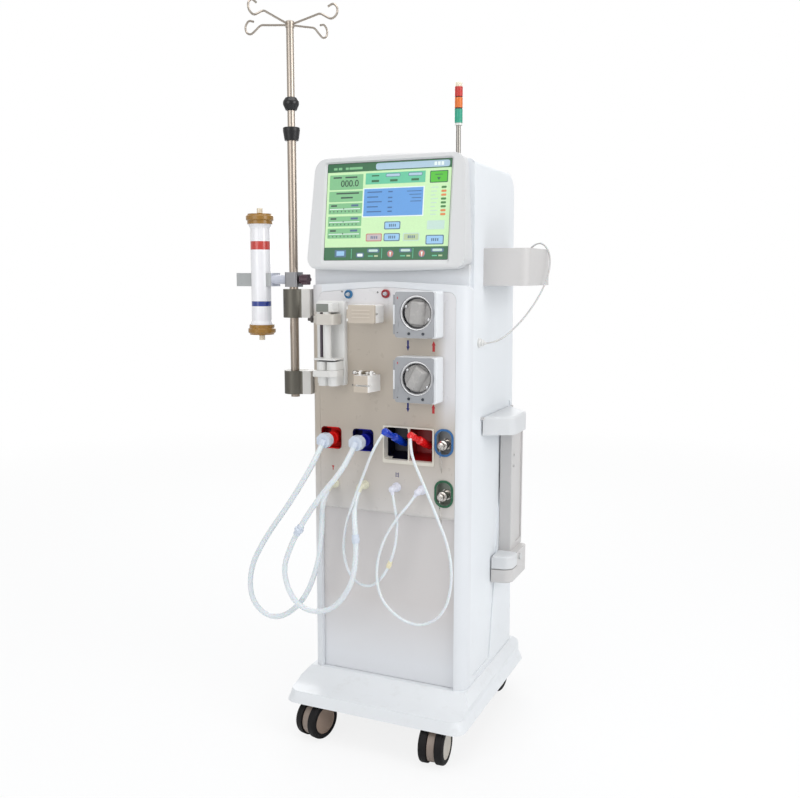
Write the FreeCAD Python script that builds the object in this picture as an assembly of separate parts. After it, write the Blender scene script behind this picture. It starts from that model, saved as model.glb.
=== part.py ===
import FreeCAD, Part
import math
import os
from FreeCAD import Vector

# Haemodialysis machine on a wheeled base, millimetres, +Z up.
# Pieces are laid out from the cabinet's front plane: x = 0 is the cabinet's middle, y = 0 the
# front of its columns, z = 0 the floor. Export moves them to the middle of the whole outline,
# which is measured without the hoses and the cuff tube.

# Cabinet and base
cabinetWidth = 400.0
cabinetRearLow = 372.0
cabinetRearHigh = 346.0
cabinetTop = 1370.0
cabinetFoot = 148.0
wall = 3.0
cornerRadius = 30.0
shoulderRadius = 14.0
crownRadius = 52.0
recessDepth = 3.0
fasciaDepth = 40.0
columnWidth = 27.0
columnFace = 12.0
browThick = 24.0
neckDrop = 30.0
flangeThick = 1.6
flangeWindow = 178.0
rearHalf = 186.0
rearLow = 176.0
rearHigh = 1280.0
rearThick = 2.0
servicePanelTop = 345.0
seam = 0.5
baseHalfWidth = 230.0
baseFront = -96.0
baseRear = 404.0
skirtBottom = 88.0
skirtLip = 114.0
skirtFlare = 8.0
framePlateBottom = 106.0
framePlateThick = 4.0

# Casters
wheelDiameter = 90.0
wheelPairWidth = 60.0
wheelGap = 20.0
casterTrail = 18.0
casterX = 153.0
casterFrontY = -46.0
casterRearY = 335.0
axleRadius = 5.0
shaftClearance = 0.05
runningGap = 1.5

# Head and screen
headLean = 7.0
headTop = 1387.0
headBottom = 1126.0
headFrontAtBottom = -15.0
headHalfWidthLow = 197.0
headHalfWidthHigh = 185.0
screenWidth = 308.0
screenHeight = 222.0
screenBottom = 1150.0
bezelDepth = 5.0
bevelSide = 5.0
bevelTop = 3.0
bevelBottom = 9.0
bevelDepth = 4.4
screenThick = 14.0
waistY = 23.0
waistTop = 1098.0

# Front panel
panelThick = 4.0
panelBottom = 556.0
panelTop = 1086.0
doorRecess = 12.0
doorThick = 3.0
ledgeWidth = 2.5

# Blood pumps
pumpWidth = 99.0
pumpHeight = 104.0
pumpDepth = 40.0
pumpLeft = 44.0
pumpCentresZ = (1028.0, 882.0)
racewayOffset = (2.0, 4.0)
racewayRadius = 41.0
racewayDepth = 27.0
pumpDoorThick = 4.0
doorGap = 0.3
knuckleRadius = 2.6
knuckleInset = 8.0
knuckleLength = 22.0
hingePin = 1.2
rotorRadius = 31.0
rollerRadius = 7.5
rollerOrbit = 30.5
rollerPin = 2.5
rotorFlange = 3.0
rotorAngles = (-28.0, -38.0)
crankAngles = (6.0, 30.0)
pumpShaft = 6.0
motorRadius = 29.0
motorLength = 120.0

# Syringe pump
syringeLeft = -172.0
syringeRight = -98.0
syringeBottom = 858.0
syringeTop = 1056.0
syringePlate = 14.0
guideX = -149.0
guideY = -32.0
guideRadius = 3.5
tubeX = -131.0
tubeY = -38.0
tubeRadius = 9.5
slideClearance = 0.3
carriageBottom = 1002.0
carriageTop = 1026.0
carriageStroke = 72.0

# Detector, clamp and ports on the panel
detectorBox = (-71.0, -4.0, 1007.0, 1048.0)
detectorDepth = 50.0
detectorDoor = 7.0
clampBox = (-58.0, -17.0, 849.0, 887.0)
clampDepth = 50.0
plungerRadius = 2.2
plungerTravel = 5.0
plungerBall = 5.2
plungerWasher = 4.4
pressurePorts = ((-93.0, 1071.0), (2.0, 1073.0))
pressureRadius = 10.0
hoseSeats = ((-143.0, 729.0), (-58.5, 729.0))
seatWidth = 55.0
seatHeight = 53.0
seatDepth = 24.0
connectorAcross = 34.0
connectorShift = 4.2
connectorFront = 50.0
plugLength = 14.0
connectorOutlet = 14.0
wandOutlet = 8.0
wandBase = 3.9
sleeveBore = 8.0
rinseLeft = -6.0
rinseRight = 123.0
rinseBottom = 680.0
rinseTop = 769.0
rinseDepth = 46.0
rinseWall = 3.0
rinseMiddle = 60.0
rinseDocks = ((38.0, 722.0), (100.0, 720.0))
wandTips = ((25.0, -58.0, 764.0), (84.0, -48.0, 758.0))
ovalX = 147.0
ovalCentresZ = (737.5, 618.5)
ovalWidth = 42.0
ovalHeight = 60.0
ovalDepth = 22.0
nipples = ((-134.0, 618.0), (-54.0, 622.0), (29.0, 624.0), (93.0, 623.0))
nippleRadius = 8.0
nippleElbow = 28.0

# Water inlet and drain, power inlet and switch on the rear cover
waterPlacesX = (60.0, 120.0)
waterZ = 240.0
waterRadius = 6.5
waterLength = 18.0
powerZ = 276.0
rockerHalf = (9.0, 12.5)
rockerX = -68.0
rockerGap = 0.8
rockerPin = 1.5
switchWall = 2.0

# Pole and dialyser
poleX = -246.0
poleY = 10.0
poleOuter = 10.5
poleInner = 9.0
poleTubeWall = 1.2
poleBottom = 822.0
poleOuterTop = 1445.0
poleTop = 1698.0
poleInnerBottom = 1190.0
bracketSpans = ((1014.0, 1082.0), (830.0, 886.0))
bracketRadius = 26.0
collarBottom = 1428.0
collarTop = 1458.0
stopRingBottom = 1497.0
stopRingTop = 1526.0
poleGap = 0.25
hookReach = 140.0
hookWire = 2.5
hookTurn = -10.0
dialyserX = -338.0
dialyserRadius = 24.0
dialyserCapRadius = 33.5
dialyserBottom = 957.0
dialyserTop = 1275.0
holderBottom = 1088.0
holderTop = 1120.0
holderLeft = -403.0
holderRight = -302.0
jointRadius = 11.0
clampBlockLeft = -262.0
clampBlockRight = -229.0
knobRight = -205.0
gripGap = 0.3

# Signal lamp, cuff basket and cartridge holder
signalX = 152.0
signalY = 62.0
signalTube = 5.5
signalLens = 9.0
signalTop = 1538.0
basketRight = 305.0
basketFront = 105.0
basketRear = 300.0
basketBottom = 1091.0
basketTop = 1176.0
basketWall = 2.5
cuffSocket = (78.0, 961.0)
cuffTubeRadius = 2.0
columnFront = 250.0
columnRear = 345.0
columnOut = 232.0
holderBaseBottom = 355.0
holderSplit = 389.0
holderBaseTop = 424.0
armBottom = 740.0
armTop = 784.0
armOut = 268.0
hangingHolesZ = (668.0, 640.0)
buttonPlace = (268.0, 408.0)
buttonRadius = 8.1
buttonInside = 240.5
buttonOutside = 254.0
barrelRadius = 3.0
holderPin = 1.5
barrelOut = 3.4

# Routes of the hoses and the cuff tube, chosen by hand
hoseRadius = 6.5
lineRadius = 3.25
hoseRoutes = {
    "hose_one": (hoseRadius, [
        (-139.9, -56, 719.2), (-143, -64, 704), (-161, -76, 662), (-215, -78, 578), (-287, -74, 485),
        (-339, -68, 396),
        (-339, -62, 307), (-273, -58, 270), (-195, -58, 326), (-149, -60, 429), (-139, -58, 520),
        (-143, -50, 581), (-136.7, -34.5, 607.1)]),
    "hose_two": (hoseRadius, [
        (-56, -56, 719.2), (-60, -65, 704), (-76, -80, 667), (-119, -88, 615), (-164, -92, 552),
        (-204, -90, 486),
        (-237, -84, 406), (-199, -78, 320), (-112, -78, 321), (-52, -80, 392), (-38, -78, 472),
        (-49, -66, 547), (-58, -50, 587), (-55.3, -34.9, 611)]),
    "hose_three": (lineRadius, [
        (21.3, -62.7, 757.3), (14, -72, 743), (-2, -76, 710), (-22, -72, 664), (-46, -66, 612),
        (-76, -60, 538), (-86, -56, 468), (-68, -52, 406), (-20, -52, 386), (22, -54, 424), (45, -52, 481),
        (52, -46, 542), (41, -38, 585), (32.7, -31.1, 611.9)]),
    "hose_four": (lineRadius, [
        (86.2, -53, 751), (91, -64, 736), (98, -66, 706), (119, -62, 658), (149, -60, 590), (184, -60, 511),
        (192, -60, 430), (172, -62, 354), (116, -62, 318), (62, -64, 330), (16, -66, 371),
        (2, -62, 436), (18, -58, 506), (52, -54, 564), (76, -42, 594), (86.9, -33, 612.6)]),
}
cuffRoute = [
    (218, 79, 961), (231, 85, 963), (248, 100, 970), (268, 126, 992), (291, 152, 1024), (308, 180, 1060),
    (317, 212, 1094), (320, 240, 1128), (316, 256, 1162), (303, 260, 1186), (283, 258, 1194),
    (268, 252, 1178)]

# Inline fittings: hose, run of its route, length and flange radius
inlineFittings = (("hose_two", 4, 24.0, 11.0), ("hose_two", 10, 20.0, 9.5), ("hose_three", 9, 16.0, 6.0))

halfWidth = cabinetWidth / 2
panelHalf = halfWidth - columnWidth
wheelRadius = wheelDiameter / 2
framePlateTop = framePlateBottom + framePlateThick
pumpRight = pumpLeft + pumpWidth
racewayX = pumpLeft + pumpWidth / 2 + racewayOffset[0]

hookAngles = [math.radians(hookTurn + quarter * 90.0) for quarter in range(4)]


def corner(point, before, after):
    """Start, middle and end of the arc that rounds one corner of an outline."""
    here = Vector(point[0], point[1], 0)
    back = Vector(before[0], before[1], 0).sub(here).normalize()
    ahead = Vector(after[0], after[1], 0).sub(here).normalize()
    if len(point) < 3 or point[2] == 0:
        return here, None, here
    half = back.getAngle(ahead) / 2
    reach = point[2] / math.tan(half)
    inward = back.add(ahead).normalize()
    centre = here.add(inward.multiply(point[2] / math.sin(half)))
    middle = here.sub(centre).normalize().multiply(point[2]).add(centre)
    return here.add(back.multiply(reach)), middle, here.add(ahead.multiply(reach))


def outline(corners, axis, at):
    """Closed face from (u, v) or (u, v, radius) corners, square to an axis."""
    turn = {"x": lambda p: Vector(at, p.x, p.y),
            "y": lambda p: Vector(p.x, at, p.y),
            "z": lambda p: Vector(p.x, p.y, at)}[axis]
    count = len(corners)
    rounded = [corner(corners[i], corners[i - 1], corners[(i + 1) % count]) for i in range(count)]
    edges = []
    for index in range(count):
        start, middle, end = rounded[index]
        if middle is not None:
            edges.append(Part.Arc(turn(start), turn(middle), turn(end)).toShape())
        following = rounded[(index + 1) % count][0]
        if end.distanceToPoint(following) > 1e-6:
            edges.append(Part.LineSegment(turn(end), turn(following)).toShape())
    return Part.Face(Part.Wire(edges))


def prism(corners, axis, start, end):
    step = {"x": Vector(1, 0, 0), "y": Vector(0, 1, 0), "z": Vector(0, 0, 1)}[axis]
    return outline(corners, axis, start).extrude(step.multiply(end - start))


def rectangle(left, right, low, high, radius=0.0):
    return [(left, low, radius), (right, low, radius), (right, high, radius), (left, high, radius)]


def box(x0, x1, y0, y1, z0, z1, radius=0.0, axis="z"):
    """Box with its four edges along one axis rounded."""
    if axis == "x":
        return prism(rectangle(y0, y1, z0, z1, radius), "x", x0, x1)
    if axis == "y":
        return prism(rectangle(x0, x1, z0, z1, radius), "y", y0, y1)
    return prism(rectangle(x0, x1, y0, y1, radius), "z", z0, z1)


def rod(start, end, radius):
    start, end = Vector(*start), Vector(*end)
    way = end.sub(start)
    return Part.makeCylinder(radius, way.Length, start, way)


def lathe(profile, place, direction):
    """Turned piece: profile of (radius, height, rounding), height along the direction."""
    solid = outline(profile, "y", 0).revolve(Vector(0, 0, 0), Vector(0, 0, 1), 360)
    solid.Placement = FreeCAD.Placement(
        Vector(*place), FreeCAD.Rotation(Vector(0, 0, 1), Vector(*direction)))
    return solid


def roundEdges(solid, radius, wanted):
    """Fillet the edges whose middle point and direction pass the test."""
    chosen = []
    for edge in solid.Edges:
        middle = edge.valueAt((edge.FirstParameter + edge.LastParameter) / 2)
        if wanted(middle, edge):
            chosen.append(edge)
    return solid.makeFillet(radius, chosen)


def route(points):
    """Straight runs joined by tangent arcs, with the arcs as large as the runs allow."""
    points = [Vector(*p) for p in points]
    edges = []
    radii = []
    last = points[0]
    for before, here, after in zip(points, points[1:], points[2:]):
        back = before.sub(here)
        ahead = after.sub(here)
        shorter = min(back.Length, ahead.Length)
        back.normalize()
        ahead.normalize()
        turn = math.pi - back.getAngle(ahead)
        reach = 0.45 * shorter
        radius = reach / math.tan(turn / 2)
        inward = back.add(ahead).normalize()
        centre = here.add(Vector(inward).multiply(math.hypot(radius, reach)))
        start = here.add(back.multiply(reach))
        end = here.add(ahead.multiply(reach))
        middle = centre.sub(inward.multiply(radius))
        edges.append(Part.LineSegment(last, start).toShape())
        edges.append(Part.Arc(start, middle, end).toShape())
        radii.append(radius)
        last = end
    edges.append(Part.LineSegment(last, points[-1]).toShape())
    return Part.Wire(edges), radii


def outletBehind(points, length, radius):
    """Short spout whose end meets the first face of a hose, in line with its first run."""
    start = Vector(*points[0])
    back = start.sub(Vector(*points[1])).normalize().multiply(length)
    return rod(tuple(start), tuple(start.add(back)), radius)


def tubeAlong(points, radius):
    path, radii = route(points)
    way = Vector(*points[1]).sub(Vector(*points[0]))
    section = Part.Wire([Part.makeCircle(radius, Vector(*points[0]), way)])
    solid = path.makePipeShell([section], True, False)
    return solid, path.Length, min(radii)


def together(shapes):
    joined = shapes[0]
    if len(shapes) > 1:
        joined = shapes[0].multiFuse(shapes[1:]).removeSplitter()
    return joined


def mirrored(solid, x=0.0):
    return solid.mirror(Vector(x, 0, 0), Vector(1, 0, 0))


def rearAt(z):
    """Y of the cabinet's rear face, which leans forward towards the top."""
    share = (z - cabinetFoot) / (cabinetTop - cabinetFoot)
    return cabinetRearLow + (cabinetRearHigh - cabinetRearLow) * share


# Wheeled base

def baseForm(inset):
    """Flared skirt with a hollow-curved ledge up to the cabinet's foot, drawn in by an inset."""
    low = baseHalfWidth - inset
    high = low - skirtFlare
    front, rear = baseFront + inset, baseRear - inset
    lip, top = skirtLip - inset, cabinetFoot - inset
    lowFace = outline(rectangle(-low, low, front, rear, cornerRadius - inset), "z", skirtBottom)
    highFace = outline(rectangle(-high, high, front + skirtFlare, rear - skirtFlare,
                                 cornerRadius - inset), "z", lip)
    skirt = Part.makeLoft([lowFace.OuterWire, highFace.OuterWire], True, True)
    upper = prism(rectangle(-high, high, front + skirtFlare, rear - skirtFlare,
                            cornerRadius - inset), "z", lip, top)
    ledge = [(front + skirtFlare - 1, lip), (front + skirtFlare - 1, lip + 1.5), (-34.0, lip + 4, 62.0),
             (-2.0 - inset, top), (rearAt(cabinetFoot) + 4, top), (rear - skirtFlare + 1, lip + 12, 10.0),
             (rear - skirtFlare + 1, lip)]
    side = [(-high - 1, lip), (-high - 1, lip + 12, 6.0), (-halfWidth - 4 + inset, top),
            (halfWidth + 4 - inset, top), (high + 1, lip + 12, 6.0), (high + 1, lip)]
    upper = upper.common(prism(ledge, "x", -baseHalfWidth, baseHalfWidth))
    upper = upper.common(prism(side, "y", baseFront, baseRear))
    return together([skirt, upper])


def makeBaseCover():
    postHole = box(-175, 175, 22, 346, cabinetFoot - 2 * wall, cabinetFoot + 1, 6)
    return baseForm(0).cut([baseForm(wall), postHole])


def makeChassis():
    plate = box(-190, 190, -64, rearAt(cabinetFoot), framePlateBottom, framePlateTop, 20)
    window = box(-110, 110, 20, 290, framePlateBottom - 1, framePlateTop + 1, 15)
    pieces = [plate.cut(window)]
    railTop = cabinetFoot - wall
    posts = []
    for side in (-1, 1):
        rail = box(*sorted((side * 176, side * 190)), 5, 366, framePlateTop, railTop)
        pieces.append(rail)
        for front in (fasciaDepth + 2, 300.0):
            inner = sorted((side * 150, side * 174))
            post = box(*inner, front, front + 24, framePlateTop, 1300)
            hollow = sorted((side * 147, side * 171))
            posts.append(post.cut(box(*hollow, front + 3, front + 21, framePlateTop, 1301)))
    shelves = [box(-171, 171, fasciaDepth + 5, 321, z, z + 2) for z in (560.0, 1110.0)]
    topPlate = box(-174, 174, fasciaDepth + 6, 324, 1300, 1303)
    return together(pieces + posts + shelves + [topPlate])


def casterPlaces():
    """Where each caster's stem stands and how far its fork is turned."""
    return {"front_left": (-casterX, casterFrontY, -14.0),
            "front_right": (casterX, casterFrontY, 4.0),
            "rear_left": (-casterX, casterRearY, 190.0),
            "rear_right": (casterX, casterRearY, 174.0)}


def makeCasterSockets():
    """Bolted caster plates with a bearing cup, part of the steel frame."""
    sockets = []
    for x, y, turn in casterPlaces().values():
        plate = box(x - 29, x + 29, y - 29, y + 29, framePlateBottom - 4, framePlateBottom, 5)
        cup = rod((x, y, framePlateBottom - 11), (x, y, framePlateBottom - 4), 20)
        bore = rod((x, y, framePlateBottom - 12), (x, y, framePlateBottom), 6 + shaftClearance)
        sockets.append(plate.fuse(cup).cut(bore))
    return sockets


def placeCaster(solid, place):
    x, y, turn = place
    solid.Placement = FreeCAD.Placement(Vector(x, y, 0), FreeCAD.Rotation(Vector(0, 0, 1), turn))
    return solid


def makeCasterSwivel(place):
    """Hood between the wheels, with its stem in the bearing cup above."""
    half = wheelGap / 2 - runningGap
    wheelY = -casterTrail
    disc = rod((-half, wheelY, wheelRadius), (half, wheelY, wheelRadius), wheelRadius - 4)
    neck = box(-half, half, wheelY - 14, 15, wheelRadius + 15, wheelDiameter + 3)
    boss = rod((0, 0, wheelDiameter + 1.5), (0, 0, framePlateBottom - 11.5), 19)
    stem = rod((0, 0, framePlateBottom - 12), (0, 0, framePlateBottom - 0.5), 6)
    bore = rod((-20, wheelY, wheelRadius), (20, wheelY, wheelRadius), axleRadius + shaftClearance)
    return placeCaster(together([disc, neck, boss, stem]).cut(bore), place)


def makeCasterWheels(place):
    """Twin wheels with dished hubs on one axle, turned as a single profile."""
    half, gap = wheelPairWidth / 2, wheelGap / 2
    profile = [(0, -half + 3), (30, -half + 3), (33, -half), (wheelRadius, -half, 7), (wheelRadius, -gap, 2),
               (16, -gap), (14, -gap - 1), (axleRadius, -gap - 1), (axleRadius, gap + 1), (14, gap + 1),
               (16, gap), (wheelRadius, gap, 2), (wheelRadius, half, 7), (33, half), (30, half - 3),
               (0, half - 3)]
    pair = outline(profile, "y", 0).revolve(Vector(0, 0, 0), Vector(0, 0, 1), 360)
    pair.rotate(Vector(0, 0, 0), Vector(0, 1, 0), 90)
    pair.translate(Vector(0, -casterTrail, wheelRadius))
    return placeCaster(Part.makeCompound([pair]), place)


# Cabinet

def housingForm(inset):
    """Rear body of the cabinet with rounded top and rear edges, drawn in by an inset."""
    top = cabinetTop - inset
    side = halfWidth - inset
    profile = [(fasciaDepth - inset, cabinetFoot - inset), (fasciaDepth - inset, top),
               (rearAt(cabinetTop) - inset, top - 4, crownRadius - inset),
               (rearAt(cabinetFoot) - inset, cabinetFoot - inset)]
    form = prism(profile, "x", -side, side)
    return roundEdges(form, shoulderRadius - inset, lambda m, e: abs(abs(m.x) - side) < 0.1
                      and m.y > fasciaDepth + 1 and m.z > cabinetFoot + 1)


def sideRecess(depth, grow):
    """Moulded recess in the cabinet's lower side, with a slanted rear border."""
    low = cabinetFoot + 14 - grow
    border = [(62 - grow, low, 8), (62 - grow, 805 + grow, 8), (rearAt(800) - 8 + grow, 797 + grow, 10),
              (292 + grow, 752, 24), (184 + grow, low, 8)]
    return prism(border, "x", halfWidth - depth, halfWidth + 1)


def makeHousing():
    outer = housingForm(0)
    recess = [sideRecess(recessDepth, 0), mirrored(sideRecess(recessDepth, 0))]
    hollow = recessDepth + wall
    inner = housingForm(wall).cut([sideRecess(hollow, wall), mirrored(sideRecess(hollow, wall))])
    throat = box(-halfWidth + wall, halfWidth - wall, fasciaDepth - 2, fasciaDepth + 6,
                 cabinetFoot - 1, cabinetTop - 2 * wall)
    rearHole = box(-176, 176, 300, 380, 186, 1270, 12, "y")
    y, z = cuffSocket
    socket = rod((halfWidth - 20, y, z), (halfWidth + 1, y, z), 6)
    lampHole = rod((signalX, signalY, cabinetTop - 20), (signalX, signalY, cabinetTop + 5), signalTube + 0.3)
    shell = outer.cut(recess + [inner, throat, rearHole, socket, lampHole])
    return together([shell, makeFrontFlange()])


def makeFrontFlange():
    """Flange round the housing's open front, which closes the cabinet behind the head."""
    side, top = halfWidth - wall + 0.5, cabinetTop - wall + 0.5
    plate = box(-side, side, fasciaDepth, fasciaDepth + flangeThick, waistTop - neckDrop, top,
                shoulderRadius - wall, "y")
    window = box(-flangeWindow, flangeWindow, fasciaDepth - 1, fasciaDepth + flangeThick + 1,
                 headBottom + 16, cabinetTop - 14, 8, "y")
    return plate.cut(window)


def rearSlab(left, right, low, high, inner, thick):
    """Slab on the leaning rear face, from an inner offset out to its thickness."""
    return prism([(rearAt(low) + inner, low), (rearAt(high) + inner, high),
                  (rearAt(high) + inner + thick, high), (rearAt(low) + inner + thick, low)], "x", left, right)


def makeRearCover():
    panels = [rearSlab(-rearHalf, rearHalf, rearLow, servicePanelTop, 0, rearThick),
              rearSlab(-rearHalf, rearHalf, servicePanelTop + seam, rearHigh, 0, rearThick)]
    cuts = []
    for row in range(12):
        z = 1010.0 + row * 16.0
        for x in (-110.0, 20.0):
            cuts.append(box(x, x + 90, 300, 400, z, z + 6, 3, "y"))
    cuts.append(box(-140, -92, 300, 400, 262, 290, 2, "y"))
    across, up = rockerHalf[0] + rockerGap + switchWall, rockerHalf[1] + rockerGap + switchWall
    cuts.append(box(rockerX - across - 0.3, rockerX + across + 0.3, 300, 400, powerZ - up - 0.3,
                    powerZ + up + 0.3, 2, "y"))
    for x in waterPlacesX:
        cuts.append(rod((x, 300, waterZ), (x, 400, waterZ), 9))
    panels = [panel.cut(cuts) for panel in panels]
    y = rearAt(powerZ)
    inlet = box(-148, -84, y + 2, y + 5, 254, 298, 4, "y").cut(box(-139, -93, y, y + 6, 263, 289, 3, "y"))
    well = box(-139.5, -92.5, y - 24, y + 2, 262.5, 289.5, 2, "y")
    well = well.cut(box(-137, -95, y - 22, y + 3, 265, 287, 2, "y"))
    pins = []
    for x, z in ((-123, 273), (-109, 273), (-116, 280)):
        pins.append(box(x - 1, x + 1, y - 22, y - 8, z - 3, z + 3))
    inlet = together([inlet, well] + pins)
    return panels + [inlet, makeSwitchHousing(y)] + [makeWaterNipple(x) for x in waterPlacesX]


def makeSwitchHousing(y):
    """Rocker's bezel and the box behind it, with a bearing hole in each side wall."""
    wide, high = rockerHalf[0] + rockerGap, rockerHalf[1] + rockerGap
    outerWide, outerHigh = wide + switchWall, high + switchWall
    bezel = box(rockerX - outerWide - 2, rockerX + outerWide + 2, y + 2.4, y + 4.2, powerZ - outerHigh - 3,
                powerZ + outerHigh + 3, 2, "y")
    well = box(rockerX - outerWide, rockerX + outerWide, y - 18, y + 2.4, powerZ - outerHigh,
               powerZ + outerHigh, 1, "y")
    hollow = box(rockerX - wide, rockerX + wide, y - 16, y + 5, powerZ - high, powerZ + high, 0.5, "y")
    reach = wide + switchWall - 0.4
    bearing = rod((rockerX - reach, y, powerZ), (rockerX + reach, y, powerZ), rockerPin + shaftClearance)
    return together([bezel, well]).cut([hollow, bearing])


def makeWaterNipple(x):
    """Hose nipple for the water inlet or the drain, with its flange and lock nut."""
    y = rearAt(waterZ)
    profile = [(2.5, -16), (8, -16), (8, -0.3), (13, 2.6), (13, 9), (9, 11), (waterRadius, 11),
               (waterRadius, 11 + waterLength), (waterRadius - 1, 12 + waterLength), (2.5, 12 + waterLength)]
    return lathe(profile, (x, y, waterZ), (0, 1, 0))


def makePowerSwitch():
    """Rocker with a shallow V face, on trunnions through its middle."""
    y = rearAt(powerZ)
    wide, high = rockerHalf
    rocker = prism([(y - 4, powerZ - high), (y + 3.2, powerZ - high), (y + 1.8, powerZ),
                    (y + 5.2, powerZ + high), (y - 4, powerZ + high)], "x", rockerX - wide, rockerX + wide)
    reach = wide + rockerGap + switchWall - 0.8
    return rocker.fuse(rod((rockerX - reach, y, powerZ), (rockerX + reach, y, powerZ), rockerPin))


# Front of the cabinet

def headFront(z):
    """Y of the leaning front face of the head."""
    return headFrontAtBottom + (z - headBottom) * math.tan(math.radians(headLean))


def headForm(inset):
    low, high = headBottom + inset, headTop - inset
    profile = [(waistY + 3, low - 6 + inset), (headFront(low) + inset, low, 11 - inset),
               (headFront(high) + inset, high, 9 - inset), (fasciaDepth - 3, high, 7 - inset),
               (fasciaDepth, cabinetTop + 3 - inset), (fasciaDepth, low - 6 + inset)]
    wide, narrow = headHalfWidthLow - inset, headHalfWidthHigh - inset
    front = [(-wide, low + 4, 26), (0, low - 3, 900), (wide, low + 4, 26),
             (narrow, high - 5, 30), (0, high, 1200), (-narrow, high - 5, 30)]
    solid = prism(profile, "x", -headHalfWidthLow, headHalfWidthLow)
    return solid.common(prism(front, "y", -60, fasciaDepth))


def leaned(solid):
    """Move a solid drawn upright at the screen's bottom line onto the leaning head."""
    solid.rotate(Vector(0, 0, 0), Vector(1, 0, 0), -headLean)
    solid.translate(Vector(0, headFront(screenBottom), screenBottom))
    return solid


def panelOutline(grow, bottom):
    side = panelHalf + grow
    shoulder = panelTop - 10 + grow
    return [(-side, bottom), (side, bottom), (side, shoulder, 18 + grow), (0, panelTop + 3 + grow, 600),
            (-side, shoulder, 18 + grow)]


def makeFascia():
    """Moulded front frame: two round columns, the arched brow, the waist and the screen's head."""
    plan = [(-halfWidth, 0, cornerRadius), (halfWidth, 0, cornerRadius), (halfWidth, fasciaDepth),
            (-halfWidth, fasciaDepth)]
    brow = [(-halfWidth, cabinetFoot), (halfWidth, cabinetFoot), (halfWidth, waistTop - 6, 14),
            (0, waistTop + 4, 900), (-halfWidth, waistTop - 6, 14)]
    columns = prism(plan, "z", cabinetFoot, waistTop + 8).common(prism(brow, "y", 0, fasciaDepth))
    neck = box(-halfWidth + 6, halfWidth - 6, waistY, fasciaDepth, waistTop - neckDrop, headBottom + 12)
    head = headForm(0)
    solid = together([columns, neck, head])
    opening = prism(panelOutline(0, cabinetFoot - 1), "y", -1, fasciaDepth + 1)
    inside = [(-halfWidth + wall, wall, cornerRadius - wall), (halfWidth - wall, wall, cornerRadius - wall),
              (halfWidth - wall, fasciaDepth + 1), (-halfWidth + wall, fasciaDepth + 1)]
    inside = prism(inside, "z", cabinetFoot - 1, waistTop - browThick)
    hollow = []
    for left, right in ((-halfWidth, -panelHalf - wall), (panelHalf + wall, halfWidth)):
        bay = box(left, right, columnFace, fasciaDepth + 10, cabinetFoot - 2, waistTop, 3)
        hollow.append(bay.common(inside))
    headHollow = headForm(wall + 1).common(box(-190, 190, -20, fasciaDepth + 1, headBottom + 6, headTop))
    headHollow.translate(Vector(0, 1, 0))
    back = box(-180, 180, fasciaDepth - 2, fasciaDepth + 1, headBottom + 10, cabinetTop - 8)
    window = [leaned(box(-screenWidth / 2 - 1, screenWidth / 2 + 1, -8, 12, -1, screenHeight + 1, 3, "y")),
              leaned(makeWindowBevel())]
    ledge = []
    for side in (-1, 1):
        x = sorted((side * panelHalf, side * (panelHalf - ledgeWidth)))
        ledge.append(box(*x, doorRecess + doorThick, doorRecess + doorThick + 3, cabinetFoot, panelTop - 14))
    frame = solid.cut([opening, headHollow, back] + window + hollow)
    return together([frame] + ledge)


def makeWindowBevel():
    """Funnel-shaped space that gives the screen's window its broad sloping inner border."""
    half = screenWidth / 2 + 1
    inner = rectangle(-half, half, -1, screenHeight + 1, 3)
    outer = rectangle(-half - bevelSide, half + bevelSide, -1 - bevelBottom, screenHeight + 1 + bevelTop, 7)
    return Part.makeLoft([outline(outer, "y", 0).OuterWire, outline(inner, "y", bevelDepth).OuterWire],
                         True, True)


def makeScreen():
    """Display module with its touch glass, behind the head's window."""
    glass = leaned(box(-screenWidth / 2, screenWidth / 2, bezelDepth, bezelDepth + 4, 0, screenHeight))
    body = leaned(box(-screenWidth / 2 - 8, screenWidth / 2 + 8, wall + 3.2, wall + 3 + screenThick, -8,
                      screenHeight + 4, 3, "y"))
    return together([glass, body])


def makePanel():
    """Upper front panel with its cut-outs and a lip that eases back to the lower door."""
    plate = prism(panelOutline(-seam, panelBottom), "y", 0, doorRecess + doorThick)
    plate = roundEdges(plate, 10, lambda m, e: abs(m.z - panelBottom) < 0.1 and abs(m.y) < 0.1)
    inner = prism(panelOutline(-seam - wall, panelBottom + panelThick), "y", panelThick,
                  doorRecess + doorThick + 1)
    cuts = [inner]
    for centre in pumpCentresZ:
        x, z = pumpCentre(centre)
        cuts.append(rod((x, -1, z), (x, 20, z), motorRadius + 3))
    for x, z in hoseSeats:
        width, height = seatWidth / 2, seatHeight / 2
        cuts.append(box(x - width, x + width, -1, 20, z - height, z + height, 9, "y"))
    cuts.append(box(rinseLeft, rinseRight, -1, 20, rinseBottom, rinseTop, 4, "y"))
    for z in ovalCentresZ:
        cuts.append(box(ovalX - ovalWidth / 2, ovalX + ovalWidth / 2, -1, 20, z - ovalHeight / 2,
                        z + ovalHeight / 2, ovalWidth / 2 - 2, "y"))
    for x, z in nipples:
        cuts.append(rod((x, -1, z), (x, 20, z), nippleRadius - 2))
    for x, z in pressurePorts:
        cuts.append(rod((x, -1, z), (x, 20, z), pressureRadius - 3))
    return plate.cut(cuts)


def makeLowerDoor():
    y = doorRecess
    edge = panelHalf - seam
    plate = box(-edge, edge, y, y + doorThick, cabinetFoot + 1, panelBottom - 1)
    rim = box(-edge + 12, edge - 12, y + doorThick, y + 12, cabinetFoot + 10, panelBottom - 12, 4, "y")
    rimHole = box(-edge + 15, edge - 15, y + doorThick - 1, y + 13, cabinetFoot + 13, panelBottom - 15,
                  4, "y")
    ribs = [box(x, x + 3, y + doorThick, y + 12, cabinetFoot + 10, panelBottom - 12) for x in (-60.0, 57.0)]
    return together([plate, rim.cut(rimHole)] + ribs)


# Blood pumps

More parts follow.
